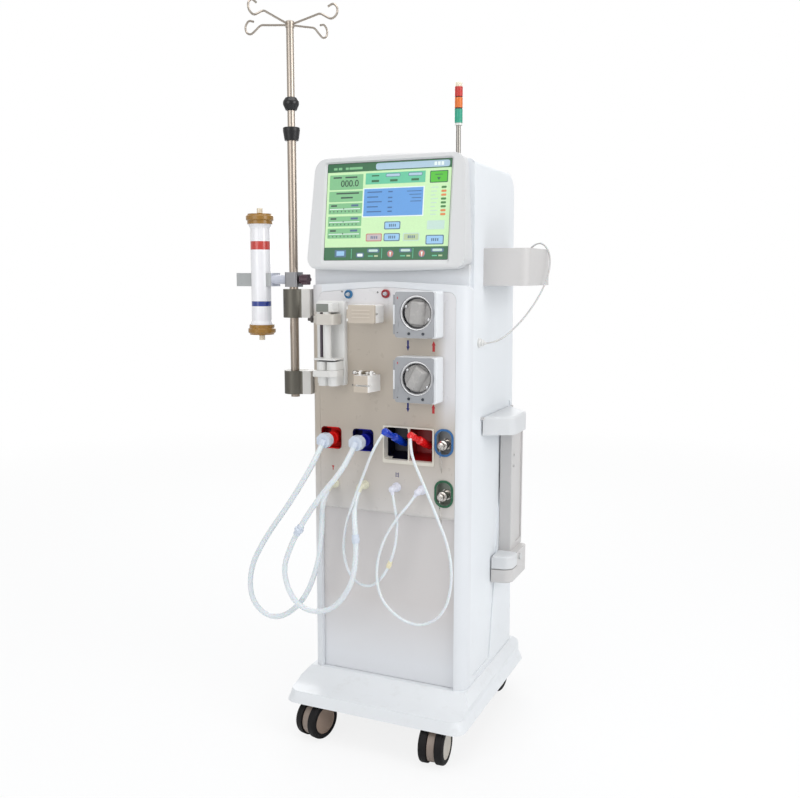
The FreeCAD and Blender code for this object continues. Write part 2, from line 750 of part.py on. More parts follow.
def pumpCentre(z):
    return racewayX, z + racewayOffset[1]


def pumpHinge():
    """Where the upright hinge pin of a pump's door stands, seen from above."""
    return pumpLeft - knuckleRadius, -pumpDepth - doorGap - pumpDoorThick / 2


def makePumpHousing(z):
    """Pump head with its round raceway pocket, side guides for the line and the motor behind."""
    x, centreZ = pumpCentre(z)
    low, high = z - pumpHeight / 2, z + pumpHeight / 2
    front = -pumpDepth
    body = box(pumpLeft, pumpRight, front, 0, low, high, 5, "y")
    body = roundEdges(body, 2, lambda m, e: abs(m.y - front) < 0.01)
    pocket = rod((x, front - 1, centreZ), (x, front + racewayDepth, centreZ), racewayRadius)
    bore = rod((x, front, centreZ), (x, 5, centreZ), pumpShaft + 3)
    exits = [box(x + side * 30 - 6, x + side * 30 + 6, front - 1, front + 20, low - 1, centreZ, 3)
             for side in (-1, 1)]
    housing = body.cut([pocket, bore] + exits)
    spigot = rod((x, 0, centreZ), (x, panelThick + 8, centreZ), motorRadius + 2)
    motor = rod((x, panelThick + 8, centreZ), (x, panelThick + 8 + motorLength, centreZ), motorRadius)
    shaftHole = rod((x, -2, centreZ), (x, 40, centreZ), pumpShaft + shaftClearance)
    back = together([spigot, motor]).cut([shaftHole, bore])
    hingeX, hingeY = pumpHinge()
    ends = (low + knuckleInset + knuckleLength, high - knuckleInset - knuckleLength)
    ear = rod((hingeX, hingeY, ends[0] + 0.4), (hingeX, hingeY, ends[1] - 0.4), knuckleRadius)
    arm = box(hingeX - knuckleRadius, pumpLeft + 0.2, hingeY, hingeY + 8, ends[0] + 0.4, ends[1] - 0.4)
    pin = rod((hingeX, hingeY, low + knuckleInset), (hingeX, hingeY, high - knuckleInset), hingePin)
    return together([housing, back, ear, arm, pin])


def makePumpDoor(z):
    """Hinged front frame with the round window over the rotor and two corner catches."""
    x, centreZ = pumpCentre(z)
    low, high = z - pumpHeight / 2, z + pumpHeight / 2
    front, back = -pumpDepth - doorGap - pumpDoorThick, -pumpDepth - doorGap
    hingeX, hingeY = pumpHinge()
    plate = box(pumpLeft + 0.5, pumpRight - 7, front, back, low + 1, high - 1, 5, "y")
    hole = rod((x, front - 1, centreZ), (x, back + 1, centreZ), racewayRadius - 1.5)
    starts = (low + knuckleInset, high - knuckleInset - knuckleLength)
    knuckles = [rod((hingeX, hingeY, k), (hingeX, hingeY, k + knuckleLength), knuckleRadius) for k in starts]
    leaves = [box(hingeX, pumpLeft + 3, front + 0.6, back, k, k + knuckleLength) for k in starts]
    pinHole = rod((hingeX, hingeY, low), (hingeX, hingeY, high), hingePin + shaftClearance)
    screws = [rod((sx, front - 1.4, low + 10), (sx, front, low + 10), 3.2)
              for sx in (pumpLeft + 34, pumpLeft + 68)]
    catch = box(pumpLeft + 3, pumpLeft + 8, front - 1, front, low + 24, low + 36, 1, "y")
    door = together([plate] + leaves + knuckles)
    return together([door.cut([hole, pinHole]), catch] + screws)


def rollerPlaces(z, angle):
    x, centreZ = pumpCentre(z)
    places = []
    for turn in (0.0, 180.0):
        a = math.radians(angle + turn)
        places.append((x + rollerOrbit * math.cos(a), centreZ + rollerOrbit * math.sin(a)))
    return places


def makeRotor(z, angle, crankAngle):
    """Two-roller rotor: hub, front and rear flanges with roller ears, hand crank ridge, shaft."""
    x, centreZ = pumpCentre(z)
    rear, front = -pumpDepth + racewayDepth - 1.5, -pumpDepth + 4
    hub = rod((x, front, centreZ), (x, rear, centreZ), rotorRadius - 10)
    plates = []
    for y in (front, rear - rotorFlange):
        disc = rod((x, y, centreZ), (x, y + rotorFlange, centreZ), rotorRadius)
        ears = [rod((px, y, pz), (px, y + rotorFlange, pz), rollerPin + 3.5)
                for px, pz in rollerPlaces(z, angle)]
        plates += [disc] + ears
    pins = [rod((px, front, pz), (px, rear, pz), rollerPin) for px, pz in rollerPlaces(z, angle)]
    shaft = rod((x, rear, centreZ), (x, 30, centreZ), pumpShaft)
    crank = Part.makeLoft([outline(rectangle(-19, 19, -27, 27, 5), "y", 0).OuterWire,
                           outline(rectangle(-9, 9, -23, 23, 4), "y", -21).OuterWire], True, True)
    crank.rotate(Vector(0, 0, 0), Vector(0, 1, 0), crankAngle)
    crank.translate(Vector(x, front, centreZ))
    return together([hub, shaft, crank] + plates + pins)


def makeRollers(z, angle):
    rear, front = -pumpDepth + racewayDepth - 1.5, -pumpDepth + 4
    rollers = []
    for px, pz in rollerPlaces(z, angle):
        roller = rod((px, front + rotorFlange + 0.3, pz), (px, rear - rotorFlange - 0.3, pz), rollerRadius)
        rollers.append(roller.cut(rod((px, front, pz), (px, rear, pz), rollerPin + shaftClearance)))
    return rollers


# Syringe pump

def makeSyringeBase():
    """Back plate, end blocks, guide rod and tube, flange slot and the two-lobed barrel seat."""
    back = -syringePlate
    plate = box(syringeLeft, syringeRight, back, 0, syringeBottom, syringeTop, 6, "y")
    plate = roundEdges(plate, 4, lambda m, e: abs(m.y - back) < 0.01)
    head = box(-156, -113, -46, back, carriageTop + 4, 1051, 3, "x")
    guide = rod((guideX, guideY, 920), (guideX, guideY, carriageTop + 6), guideRadius)
    tube = rod((tubeX, tubeY, 924), (tubeX, tubeY, carriageTop + 6), tubeRadius)
    flange = box(-155, -100, -62, back, 920, 924, 3)
    seat = box(-152, -101, -48, back, 897, 917.5)
    lobes = [rod((x, -48, 897), (x, -48, 917.5), 12.5) for x in (-139.5, -113.5)]
    spacer = box(-146, -107, -36, back, 917.5, 920)
    lower = box(-150, -102, -44, back, 860, 882)
    lowerLobes = [rod((x, -44, 860), (x, -44, 882), 11) for x in (-139.0, -113.0)]
    pivot = rod((-106, -24, 882), (-106, -24, 897), 3)
    neck = box(-150, -122, -20, back, 882, 897)
    return together([plate, head, guide, tube, flange, seat, spacer, lower, pivot, neck] + lobes + lowerLobes)


def makeSyringeCarriage():
    body = box(-152, -104, -60, -syringePlate - slideClearance, carriageBottom, carriageTop, 7)
    nose = box(-158, -140, -56, -38, carriageBottom + 4, carriageTop - 4, 3)
    bores = [rod((guideX, guideY, 990), (guideX, guideY, 1040), guideRadius + slideClearance),
             rod((tubeX, tubeY, 990), (tubeX, tubeY, 1040), tubeRadius + slideClearance)]
    pin = rod((-162, -47, carriageBottom + 12), (-150, -47, carriageBottom + 12), 3)
    return together([body, nose, pin]).cut(bores)


def makeReleaseLever():
    """Round lever head on the carriage's pin, with a short thumb tab."""
    z = carriageBottom + 12
    head = rod((-166.5, -47, z), (-158.3, -47, z), 8.5)
    tab = box(-166.5, -158.3, -66, -47, z - 3.5, z + 3.5, 3, "x")
    bore = rod((-162, -47, z), (-150, -47, z), 3 + shaftClearance)
    return together([head, tab]).cut(bore)


def makeBarrelClamp():
    """Swinging arm that holds the syringe barrel in its seat."""
    low, high = 882.4, 896.6
    arm = prism([(-156, -68, 6), (-108, -68, 8), (-98, -52, 8), (-98, -18, 5), (-114, -18, 5), (-118, -44, 6),
                 (-156, -50, 4)], "z", low, high)
    return arm.cut(rod((-106, -24, 880), (-106, -24, 900), 3 + shaftClearance))


# Small units on the panel

def makeDetectorBody():
    left, right, low, high = detectorBox
    front = -detectorDepth + detectorDoor + 0.3
    body = box(left, right, front, 0, low, high, 3, "y")
    slot = box(left - 1, right + 1, front - 1, front + 12, (low + high) / 2 - 3, (low + high) / 2 + 3, 2, "x")
    ear = [rod((left - 2.4, front - 3.4, z), (left - 2.4, front - 3.4, z + 6), 2.4)
           for z in (low + 4, high - 10)]
    arms = [box(left - 4.8, left, front - 3.4, front + 6, z, z + 6) for z in (low + 4, high - 10)]
    pin = rod((left - 2.4, front - 3.4, low + 4), (left - 2.4, front - 3.4, high - 4), 1.2)
    return together([body.cut(slot), pin] + ear + arms)


def makeDetectorDoor():
    """Door with three pressed ribs, hinged at its left edge."""
    left, right, low, high = detectorBox
    front = -detectorDepth
    back = front + detectorDoor
    pinX, pinY = left - 2.4, back + 0.3 - 3.4
    plate = box(left + 0.6, right, front, back, low, high, 3, "y")
    knuckle = rod((pinX, pinY, low + 10.4), (pinX, pinY, high - 10.4), 2.4)
    leaf = box(pinX, left + 3, front + 1, back - 1.2, low + 10.4, high - 10.4)
    ribs = [box(left + 10, right - 12, front - 1.2, front + 1, z, z + 2.4, 1, "y")
            for z in (low + 12, low + 20, low + 28)]
    hole = rod((pinX, pinY, low), (pinX, pinY, high), 1.2 + shaftClearance)
    return together([plate, knuckle, leaf] + ribs).cut(hole)


def makeVenousClamp():
    left, right, low, high = clampBox
    body = prism([(left, -clampDepth, 2), (right - 4, -clampDepth, 4), (right + 4, 0), (left, 0)],
                 "z", low, high)
    slot = box(left - 1, right + 5, -clampDepth - 1, -clampDepth + 14, low + 13, low + 18, 2, "x")
    ears = [box(x, x + 4, -41, -29, high, high + 11, 3, "x") for x in (left + 10, right - 3)]
    springEnd = right - 10 - plungerTravel - 1
    turns = [rod((x, -35, high + 6), (x + 1.6, -35, high + 6), 3.6)
             for x in (springEnd - 1.6, springEnd - 4.4, springEnd - 7.2)]
    core = rod((left + 13, -35, high + 6), (springEnd, -35, high + 6), 3.0)
    bore = rod((left, -35, high + 6), (right + 6, -35, high + 6), plungerRadius + shaftClearance)
    return together([body.cut(slot), core] + ears + turns).cut(bore)


def makePlunger():
    """Sprung pull pin with a ball head and two washers, turned in one piece."""
    left, right, low, high = clampBox
    start = left - 4 - plungerBall
    washers = (left + 1.5 - start, right - 10 - start)
    profile = [(0, 0), (plungerBall, 0, plungerBall - 0.1), (plungerBall, 2 * plungerBall, 2.9)]
    for washer in washers:
        profile += [(plungerRadius, washer - 0.3), (plungerRadius, washer), (plungerWasher, washer),
                    (plungerWasher, washer + 2), (plungerRadius, washer + 2)]
    profile += [(plungerRadius, right + 9 - start), (0, right + 9 - start)]
    return lathe(profile, (start, -35, high + 6), (1, 0, 0))


def makePressurePort(x, z):
    """Luer socket with its coloured ring, seated in the panel from the front."""
    profile = [(1.4, -8), (pressureRadius - 3.2, -8), (pressureRadius - 3.2, 0), (pressureRadius, 0),
               (pressureRadius, 6, 2), (7.5, 6, 1), (7.5, 3.5), (4, 3.5), (3.2, 11), (1.4, 11)]
    return lathe(profile, (x, 0, z), (0, -1, 0))


def makeHoseSeat(x, z):
    """Recessed cup with its docking sleeve; the hose connector plugs onto the sleeve."""
    gap = 0.3
    width, height = seatWidth / 2 - gap, seatHeight / 2 - gap
    cup = box(x - width, x + width, 0.5, seatDepth, z - height, z + height, 9, "y")
    hollow = box(x - width + 2.5, x + width - 2.5, -1, seatDepth - 3, z - height + 2.5,
                 z + height - 2.5, 7, "y")
    sleeve = lathe([(sleeveBore, -seatDepth - 6), (12, -seatDepth - 6), (15, -seatDepth + 4), (15, 2),
                    (12.5, 4), (12.5, seatDepth), (sleeveBore, seatDepth)],
                   (x + connectorShift, 0, z), (0, -1, 0))
    return together([cup.cut(hollow), sleeve])


def makeRinseHousing():
    """White rinse dock with a slanted left wall and sill, divided into two wells."""
    outer = box(rinseLeft + 0.3, rinseRight - 0.3, -3, rinseDepth, rinseBottom + 0.3, rinseTop - 0.3, 4, "y")
    cuts = []
    for left, right in ((rinseLeft + 12, rinseMiddle - 1.5), (rinseMiddle + 1.5, rinseRight - 4)):
        front = outline(rectangle(left - (9 if left < 20 else 0), right, rinseBottom + 8, rinseTop - 4, 4),
                        "y", -4)
        back = outline(rectangle(left, right - 2, rinseBottom + 22, rinseTop - 6, 4),
                       "y", rinseDepth - rinseWall)
        cuts.append(Part.makeLoft([front.OuterWire, back.OuterWire], True, True))
    docks = [rod((x, rinseDepth - rinseWall - 10, z), (x, rinseDepth - rinseWall + 1, z), 12)
             for x, z in rinseDocks]
    return together([outer.cut(cuts)] + docks)


def makeWand(dock, tip, line):
    """Stepped rinse wand that leans out of its well and turns down into its line at the tip."""
    start = Vector(dock[0], rinseDepth - rinseWall - 10, dock[1])
    way = Vector(*tip).sub(start)
    start = start.add(Vector(way).normalize().multiply(wandBase))
    length = way.Length - wandBase
    profile = [(0, 0), (8, 0), (8, 14), (9.5, 16), (9.5, length * 0.55), (7, length * 0.6), (7, length * 0.8),
               (8.5, length * 0.84), (8.5, length + 3, 3.5), (0, length + 3)]
    wand = lathe(profile, tuple(start), tuple(way))
    return together([wand, outletBehind(line, wandOutlet, lineRadius + 0.8)])


def makeDisinfectantCup(z):
    rim = box(ovalX - ovalWidth / 2 - 2, ovalX + ovalWidth / 2 + 2, -2.5, -0.01, z - ovalHeight / 2 - 2,
              z + ovalHeight / 2 + 2, ovalWidth / 2, "y")
    cup = box(ovalX - ovalWidth / 2 + 0.4, ovalX + ovalWidth / 2 - 0.4, -0.5, ovalDepth,
              z - ovalHeight / 2 + 0.4, z + ovalHeight / 2 - 0.4, ovalWidth / 2 - 2.4, "y")
    hollow = box(ovalX - ovalWidth / 2 + 3, ovalX + ovalWidth / 2 - 3, -4, ovalDepth - 2.5,
                 z - ovalHeight / 2 + 3, z + ovalHeight / 2 - 3, ovalWidth / 2 - 5, "y")
    coupling = lathe([(0, -ovalDepth + 2), (9, -ovalDepth + 2), (9, -6, 1), (11.5, -5), (11.5, 3, 1), (8, 4),
                      (8, 13, 1), (5, 14), (5, 18, 1), (0, 18)], (ovalX - 3, 0, z - 6), (-0.12, -1, 0))
    hanger = rod((ovalX - 5, -14, z - 32), (ovalX - 5, -14, z - 12), 1.2)
    return together([rim, cup]).cut(hollow), together([coupling, hanger])


def makeNipple(place, line, lineBore):
    """Concentrate nipple with a ball elbow that points down along its hose."""
    x, z = place
    barrel = lathe([(0, -12), (nippleRadius - 2.3, -12), (nippleRadius - 2.3, 0), (nippleRadius + 3, 0),
                    (nippleRadius + 3, 4, 1), (nippleRadius, 6), (nippleRadius, nippleElbow - 8, 1.5),
                    (nippleRadius - 2, nippleElbow - 6), (nippleRadius - 2, nippleElbow), (0, nippleElbow)],
                   (x, 0, z), (0, -1, 0))
    ball = Part.makeSphere(nippleRadius, Vector(x, -nippleElbow, z))
    end = Vector(*line[-1])
    outlet = rod(tuple(end), (x, -nippleElbow, z), lineBore)
    return together([barrel, ball, outlet])


# Hoses and what is on them

def makeConnector(x, z, line):
    """Eight-sided hand grip that plugs into the docking sleeve, with a turned-down outlet."""
    half = connectorAcross / 2
    grip = connectorFront - 19.5
    seat = seatDepth + gripGap
    eight = [(x + half / math.cos(math.pi / 8) * math.cos(math.pi / 8 + k * math.pi / 4),
              z + half / math.cos(math.pi / 8) * math.sin(math.pi / 8 + k * math.pi / 4)) for k in range(8)]
    body = prism(eight, "y", -connectorFront, -grip)
    cap = rod((x, -grip, z), (x, -seat, z), half - 2)
    plug = rod((x, -seat, z), (x, -seat + plugLength, z), sleeveBore - gripGap)
    return together([body, cap, plug, outletBehind(line, connectorOutlet, hoseRadius + 1.2)])


def makeInlineFitting(line, run, length, radius):
    """Flanged sleeve around the middle of one run of a hose."""
    hose, points = hoseRoutes[line]
    start, end = Vector(*points[run]), Vector(*points[run + 1])
    middle = start.add(end).multiply(0.5)
    half = length / 2
    bore = hose + gripGap
    shoulder = hose + 2.0
    return lathe([(bore, -half), (shoulder, -half), (shoulder, -half * 0.5), (radius, -half * 0.4, 1),
                  (radius, half * 0.1, 1), (shoulder, half * 0.2), (shoulder, half), (bore, half)],
                 tuple(middle), tuple(end.sub(start)))


def makeHoses():
    hoses = {}
    for name, (radius, points) in hoseRoutes.items():
        solid, length, tightest = tubeAlong(points, radius)
        hoses[name] = solid
        print(name, "length", round(length), "tightest radius", round(tightest, 1),
              "volume ratio", round(solid.Volume / (math.pi * radius ** 2 * length), 4))
    return hoses


def makeCuffTube():
    solid, length, tightest = tubeAlong(cuffRoute, cuffTubeRadius)
    print("cuff_tube length", round(length), "tightest radius", round(tightest, 1),
          "volume ratio", round(solid.Volume / (math.pi * cuffTubeRadius ** 2 * length), 4))
    return solid


# Pole, hooks and dialyser

def makeBracket(low, high):
    """Clamp for the pole, its foot shaped to the cabinet's round corner."""
    block = prism([(poleX, poleY - 20), (-halfWidth, poleY - 6), (-halfWidth, poleY + 38),
                   (poleX, poleY + 24)],
                  "z", low, high)
    ring = rod((poleX, poleY, low), (poleX, poleY, high), bracketRadius)
    bore = rod((poleX, poleY, low - 1), (poleX, poleY, high + 1), poleOuter + poleGap)
    skin = cabinetSkin(low, high)
    return together([ring, block]).cut([bore, skin])


def cabinetSkin(low, high):
    """The cabinet's outer corner, to seat what is screwed against it."""
    plan = [(-halfWidth, 0, cornerRadius), (0, 0), (0, 200), (-halfWidth, 200)]
    return prism(plan, "z", low - 5, high + 5)


def makeOuterTube():
    tube = rod((poleX, poleY, poleBottom), (poleX, poleY, poleOuterTop), poleOuter)
    bore = rod((poleX, poleY, poleBottom - 1), (poleX, poleY, poleOuterTop + 1), poleInner + poleGap)
    return tube.cut(bore)


def makeCollar():
    """Tapered lock collar over the outer tube's end."""
    profile = [(poleOuter + poleGap, collarBottom), (16.5, collarBottom, 1), (20, collarTop - 8, 2),
               (20, collarTop, 2), (poleInner + poleGap, collarTop),
                (poleInner + poleGap, poleOuterTop + 0.3),
               (poleOuter + poleGap, poleOuterTop + 0.3)]
    return lathe(profile, (poleX, poleY, 0), (0, 0, 1))


def hookPoints():
    """One hook in its own upright plane: out, up, down and round in an open curl."""
    top = poleTop
    reach = hookReach
    return [(6, top - 9), (50, top - 3), (reach - 50, top + 3), (reach - 35, top - 6), (reach - 18, top - 15),
            (reach - 3, top - 8), (reach, top + 7), (reach - 12, top + 19), (reach - 27, top + 14)]


def makeInnerTube():
    tube = rod((poleX, poleY, poleInnerBottom), (poleX, poleY, poleTop - 16), poleInner)
    tube = tube.cut(rod((poleX, poleY, poleInnerBottom - 1), (poleX, poleY, poleTop - 30),
                        poleInner - poleTubeWall))
    hub = lathe([(0, poleTop - 16), (poleInner + 1.5, poleTop - 16), (poleInner + 1.5, poleTop - 2, 1.5),
                 (poleInner - 3, poleTop, 1.5), (0, poleTop)], (poleX, poleY, 0), (0, 0, 1))
    ring = lathe([(poleInner - 0.5, stopRingBottom), (13, stopRingBottom), (19, stopRingTop - 16, 6),
                  (19, stopRingTop - 9, 6), (13, stopRingTop, 3), (poleInner - 0.5, stopRingTop)],
                 (poleX, poleY, 0), (0, 0, 1))
    hooks = []
    for angle in hookAngles:
        points = [(poleX + r * math.cos(angle), poleY + r * math.sin(angle), z) for r, z in hookPoints()]
        hooks.append(tubeAlong(points, hookWire)[0])
    return together([tube, hub, ring] + hooks)


def makeDialyserClamp():
    low, high = holderBottom - 1, holderTop + 2
    block = box(clampBlockLeft, clampBlockRight, poleY - 18, poleY + 18, low, high, 5)
    bore = rod((poleX, poleY, low - 1), (poleX, poleY, high + 1), poleOuter + gripGap)
    middle = (low + high) / 2
    thread = rod((poleX, poleY, middle), (clampBlockRight + 1, poleY, middle), 4 + shaftClearance)
    pivot = rod((clampBlockLeft - 14, poleY, middle), (clampBlockLeft + 4, poleY, middle), 5)
    return block.fuse(pivot).cut([bore, thread])


def makeKnob():
    """Six-lobed star knob with its clamping screw."""
    middle = (holderBottom + holderTop + 1) / 2
    start = clampBlockRight + 2.5
    core = rod((start, poleY, middle), (knobRight, poleY, middle), 10)
    lobes = []
    for k in range(6):
        a = math.radians(60 * k)
        y, z = poleY + 9.5 * math.cos(a), middle + 9.5 * math.sin(a)
        lobes.append(rod((start + 6, y, z), (knobRight, y, z), 4.2))
    screw = rod((poleX + poleOuter + 0.5, poleY, middle), (start + 1, poleY, middle), 4)
    return together([core, screw] + lobes)


def makeHolder():
    """C-shaped jaws around the dialyser, open at the front, on a turning joint."""
    middle = (holderBottom + holderTop + 1) / 2
    plan = [(holderLeft, poleY - 12, 5), (holderRight, poleY - 12, 5), (holderRight, poleY + 36, 8),
            (holderLeft, poleY + 36, 8)]
    block = prism(plan, "z", holderBottom, holderTop)
    bore = rod((dialyserX, poleY, holderBottom - 1), (dialyserX, poleY, holderTop + 1),
               dialyserRadius + gripGap)
    mouth = box(dialyserX - 18, dialyserX + 18, poleY - 40, poleY - 10, holderBottom - 1, holderTop + 1)
    joint = rod((holderRight - 2, poleY, middle), (clampBlockLeft - 0.3, poleY, middle), jointRadius)
    socket = rod((clampBlockLeft - 16, poleY, middle), (clampBlockLeft + 1, poleY, middle),
                 5 + shaftClearance)
    return together([block.cut([bore, mouth]), joint]).cut(socket)


def makeDialyserBody():
    """Clear fibre housing with its two side ports."""
    low, high = dialyserBottom + 14, dialyserTop - 14
    wide = dialyserRadius + 5
    body = lathe([(0, low), (wide, low), (wide, low + 22, 3), (dialyserRadius, low + 34),
                  (dialyserRadius, high - 34), (wide, high - 22, 3), (wide, high), (0, high)],
                 (dialyserX, poleY, 0), (0, 0, 1))
    ports = []
    for z in (low + 44, high - 44):
        start = (dialyserX - 10, poleY + 18, z)
        ports.append(rod(start, (dialyserX - 22, poleY + 44, z), 6))
    return together([body] + ports)


def makeDialyserCap(way):
    """Amber end cap with grip ring and the white blood port."""
    base = dialyserTop if way > 0 else dialyserBottom
    profile = [(dialyserRadius + 5.3, -38), (dialyserCapRadius - 3, -38), (dialyserCapRadius - 3, -30),
               (dialyserCapRadius, -28, 2), (dialyserCapRadius, -19, 2), (dialyserCapRadius - 4, -16),
               (10, -13), (7, -12), (7, 0, 1), (0, 0), (0, -13.7), (dialyserRadius + 5.3, -13.7)]
    return lathe(profile, (dialyserX, poleY, base), (0, 0, way))


# Signal lamp, basket and cartridge holder

def makeSignalTower():
    """Post, three round lenses between rings, and a cap."""
    seat = cabinetTop
    post = lathe([(0, seat - 14), (signalTube, seat - 14), (signalTube, seat), (signalTube + 5, seat + 0.6),
                  (signalTube + 5, seat + 4, 1), (signalTube, seat + 6), (signalTube, 1445), (0, 1445)],
                 (signalX, signalY, 0), (0, 0, 1))
    levels = [1445, 1450, 1480, 1483, 1505, 1507, 1528, signalTop]
    pieces = [post]
    for index, (low, high) in enumerate(zip(levels, levels[1:])):
        radius = signalLens if index % 2 else signalLens - 0.8
        rounding = 3 if high == signalTop else 0
        pieces.append(lathe([(0, low), (radius, low), (radius, high, rounding), (0, high)],
                            (signalX, signalY, 0), (0, 0, 1)))
    return pieces


def makeBasket():
    """Open cuff basket screwed to the side wall, with a rounded front corner."""
    left = halfWidth
    right, front, rear = basketRight, basketFront, basketRear
    outer = prism([(left, front), (right, front, 20), (right, rear, 16), (left, rear)],
                  "z", basketBottom, basketTop)
    left, right = left + basketWall, right - basketWall
    front, rear = front + basketWall, rear - basketWall
    inner = prism([(left, front), (right, front, 20 - basketWall), (right, rear, 16 - basketWall),
                   (left, rear)],
                  "z", basketBottom + basketWall, basketTop + 1)
    return outer.cut(inner)


def makeCuffFittings():
    """Socket on the cabinet's side with its nut, and the luer end of the cuff tube."""
    y, z = cuffSocket
    socket = lathe([(0, -8), (5.5, -8), (5.5, 0), (11, 0), (11, 4, 1), (8, 6), (8, 11, 1), (4, 12),
                    (4, 15), (0, 15)], (halfWidth, y, z), (1, 0, 0))
    socket = together([socket, outletBehind(cuffRoute, 6.0, cuffTubeRadius + 1)])
    last, before = Vector(*cuffRoute[-1]), Vector(*cuffRoute[-2])
    way = last.sub(before).normalize()
    end = lathe([(0, 0), (3.5, 0), (3.5, 10, 0.8), (5, 11), (5, 17, 1), (2.2, 18), (2.2, 24), (0, 24)],
                tuple(last), tuple(way))
    return [socket, end]


def holderPlan(out):
    return [(halfWidth, 192), (out, 200, 26), (out, 331, 12), (halfWidth, 331)]


def makeCartridgeColumn():
    """Upright rail with two hanging holes, standing on the fixed half of the lower holder."""
    rail = box(halfWidth, columnOut, columnFront, columnRear, holderBaseTop, armBottom - 0.3, 3)
    groove = box(columnOut - 4, columnOut + 1, columnFront + 40, columnRear - 8, holderBaseTop + 14,
                 armBottom - 14, 3, "x")
    holes = [rod((columnOut - 12, columnFront + 16, z), (columnOut + 1, columnFront + 16, z), 4)
             for z in hangingHolesZ]
    base = prism(holderPlan(250.0), "z", holderBaseBottom, holderBaseTop)
    base = roundEdges(base, 5, lambda m, e: abs(m.z - holderBaseBottom) < 0.1 and m.x > halfWidth + 1)
    notch = box(halfWidth - 1, 251, 191, 247, holderSplit, holderBaseTop + 1)
    hingeX, hingeZ = holderHinge(holderBaseTop)
    pin = rod((hingeX, 194, hingeZ), (hingeX, 252, hingeZ), holderPin)
    y, z = buttonPlace
    button = rod((buttonInside - 2.5, y, z), (251, y, z), buttonRadius + 0.4)
    column = together([rail.cut([groove] + holes), base.cut([notch, button]), pin])
    return [column, makeArmHinge()]


def holderHinge(top):
    """Where the hinge pin runs front to back, close to the side wall and a piece's top face."""
    return halfWidth + barrelOut, top - barrelRadius


def onBarrel(solid, top, front, rear):
    """Give a holder piece a rolled inner edge with a bore for its hinge pin."""
    x, z = holderHinge(top)
    edge = box(halfWidth, x, front - 90, rear + 90, z, top + 1)
    barrel = rod((x, front, z), (x, rear, z), barrelRadius)
    bore = rod((x, front - 90, z), (x, rear + 90, z), holderPin + shaftClearance)
    return together([solid.cut(edge), barrel]).cut(bore)


def makeArmHinge():
    """Pin of the upper arm in two lugs on the side wall."""
    x, z = holderHinge(armTop)
    lugs = []
    for front, wallX in ((105.0, halfWidth - recessDepth), (332.0, halfWidth)):
        lugs.append(rod((x, front, z), (x, front + 5, z), barrelRadius + 0.2))
        lugs.append(box(wallX, x, front, front + 5, z - barrelRadius - 0.2, z + barrelRadius + 0.2))
    return together([rod((x, 105, z), (x, 337, z), holderPin)] + lugs)


def makeCartridgeLid():
    """Front half of the lower holder that tips up on a pin at the cabinet's side."""
    lid = prism(holderPlan(250.0), "z", holderSplit + 2.5, holderBaseTop)
    lid = lid.common(box(halfWidth + 0.4, 251, 190, 246.5, holderSplit, holderBaseTop + 1))
    lid = roundEdges(lid, 5, lambda m, e: abs(m.z - holderBaseTop) < 0.1 and m.x > halfWidth + 12
                     and m.y < 245)
    return onBarrel(lid, holderBaseTop, 196, 246.5)


def makeCartridgeButton():
    y, z = buttonPlace
    return rod((buttonInside, y, z), (buttonOutside, y, z), buttonRadius)


def makeCartridgeArm():
    """Upper arm over the cartridge, folding up against the side on its top edge."""
    plan = [(halfWidth + 0.4, 112), (armOut, 150, 26), (armOut, 246, 22), (halfWidth + 0.4, 330)]
    arm = prism(plan, "z", armBottom, armTop)
    arm = roundEdges(arm, 6, lambda m, e: abs(m.z - armTop) < 0.1 and m.x > halfWidth + 3)
    pocket = prism([(halfWidth + 12, 160, 6), (armOut - 12, 172, 10), (armOut - 12, 232, 10),
                    (halfWidth + 12, 244, 6)], "z", armBottom - 1, armBottom + 12)
    return onBarrel(arm.cut(pocket), armTop, 118, 324)


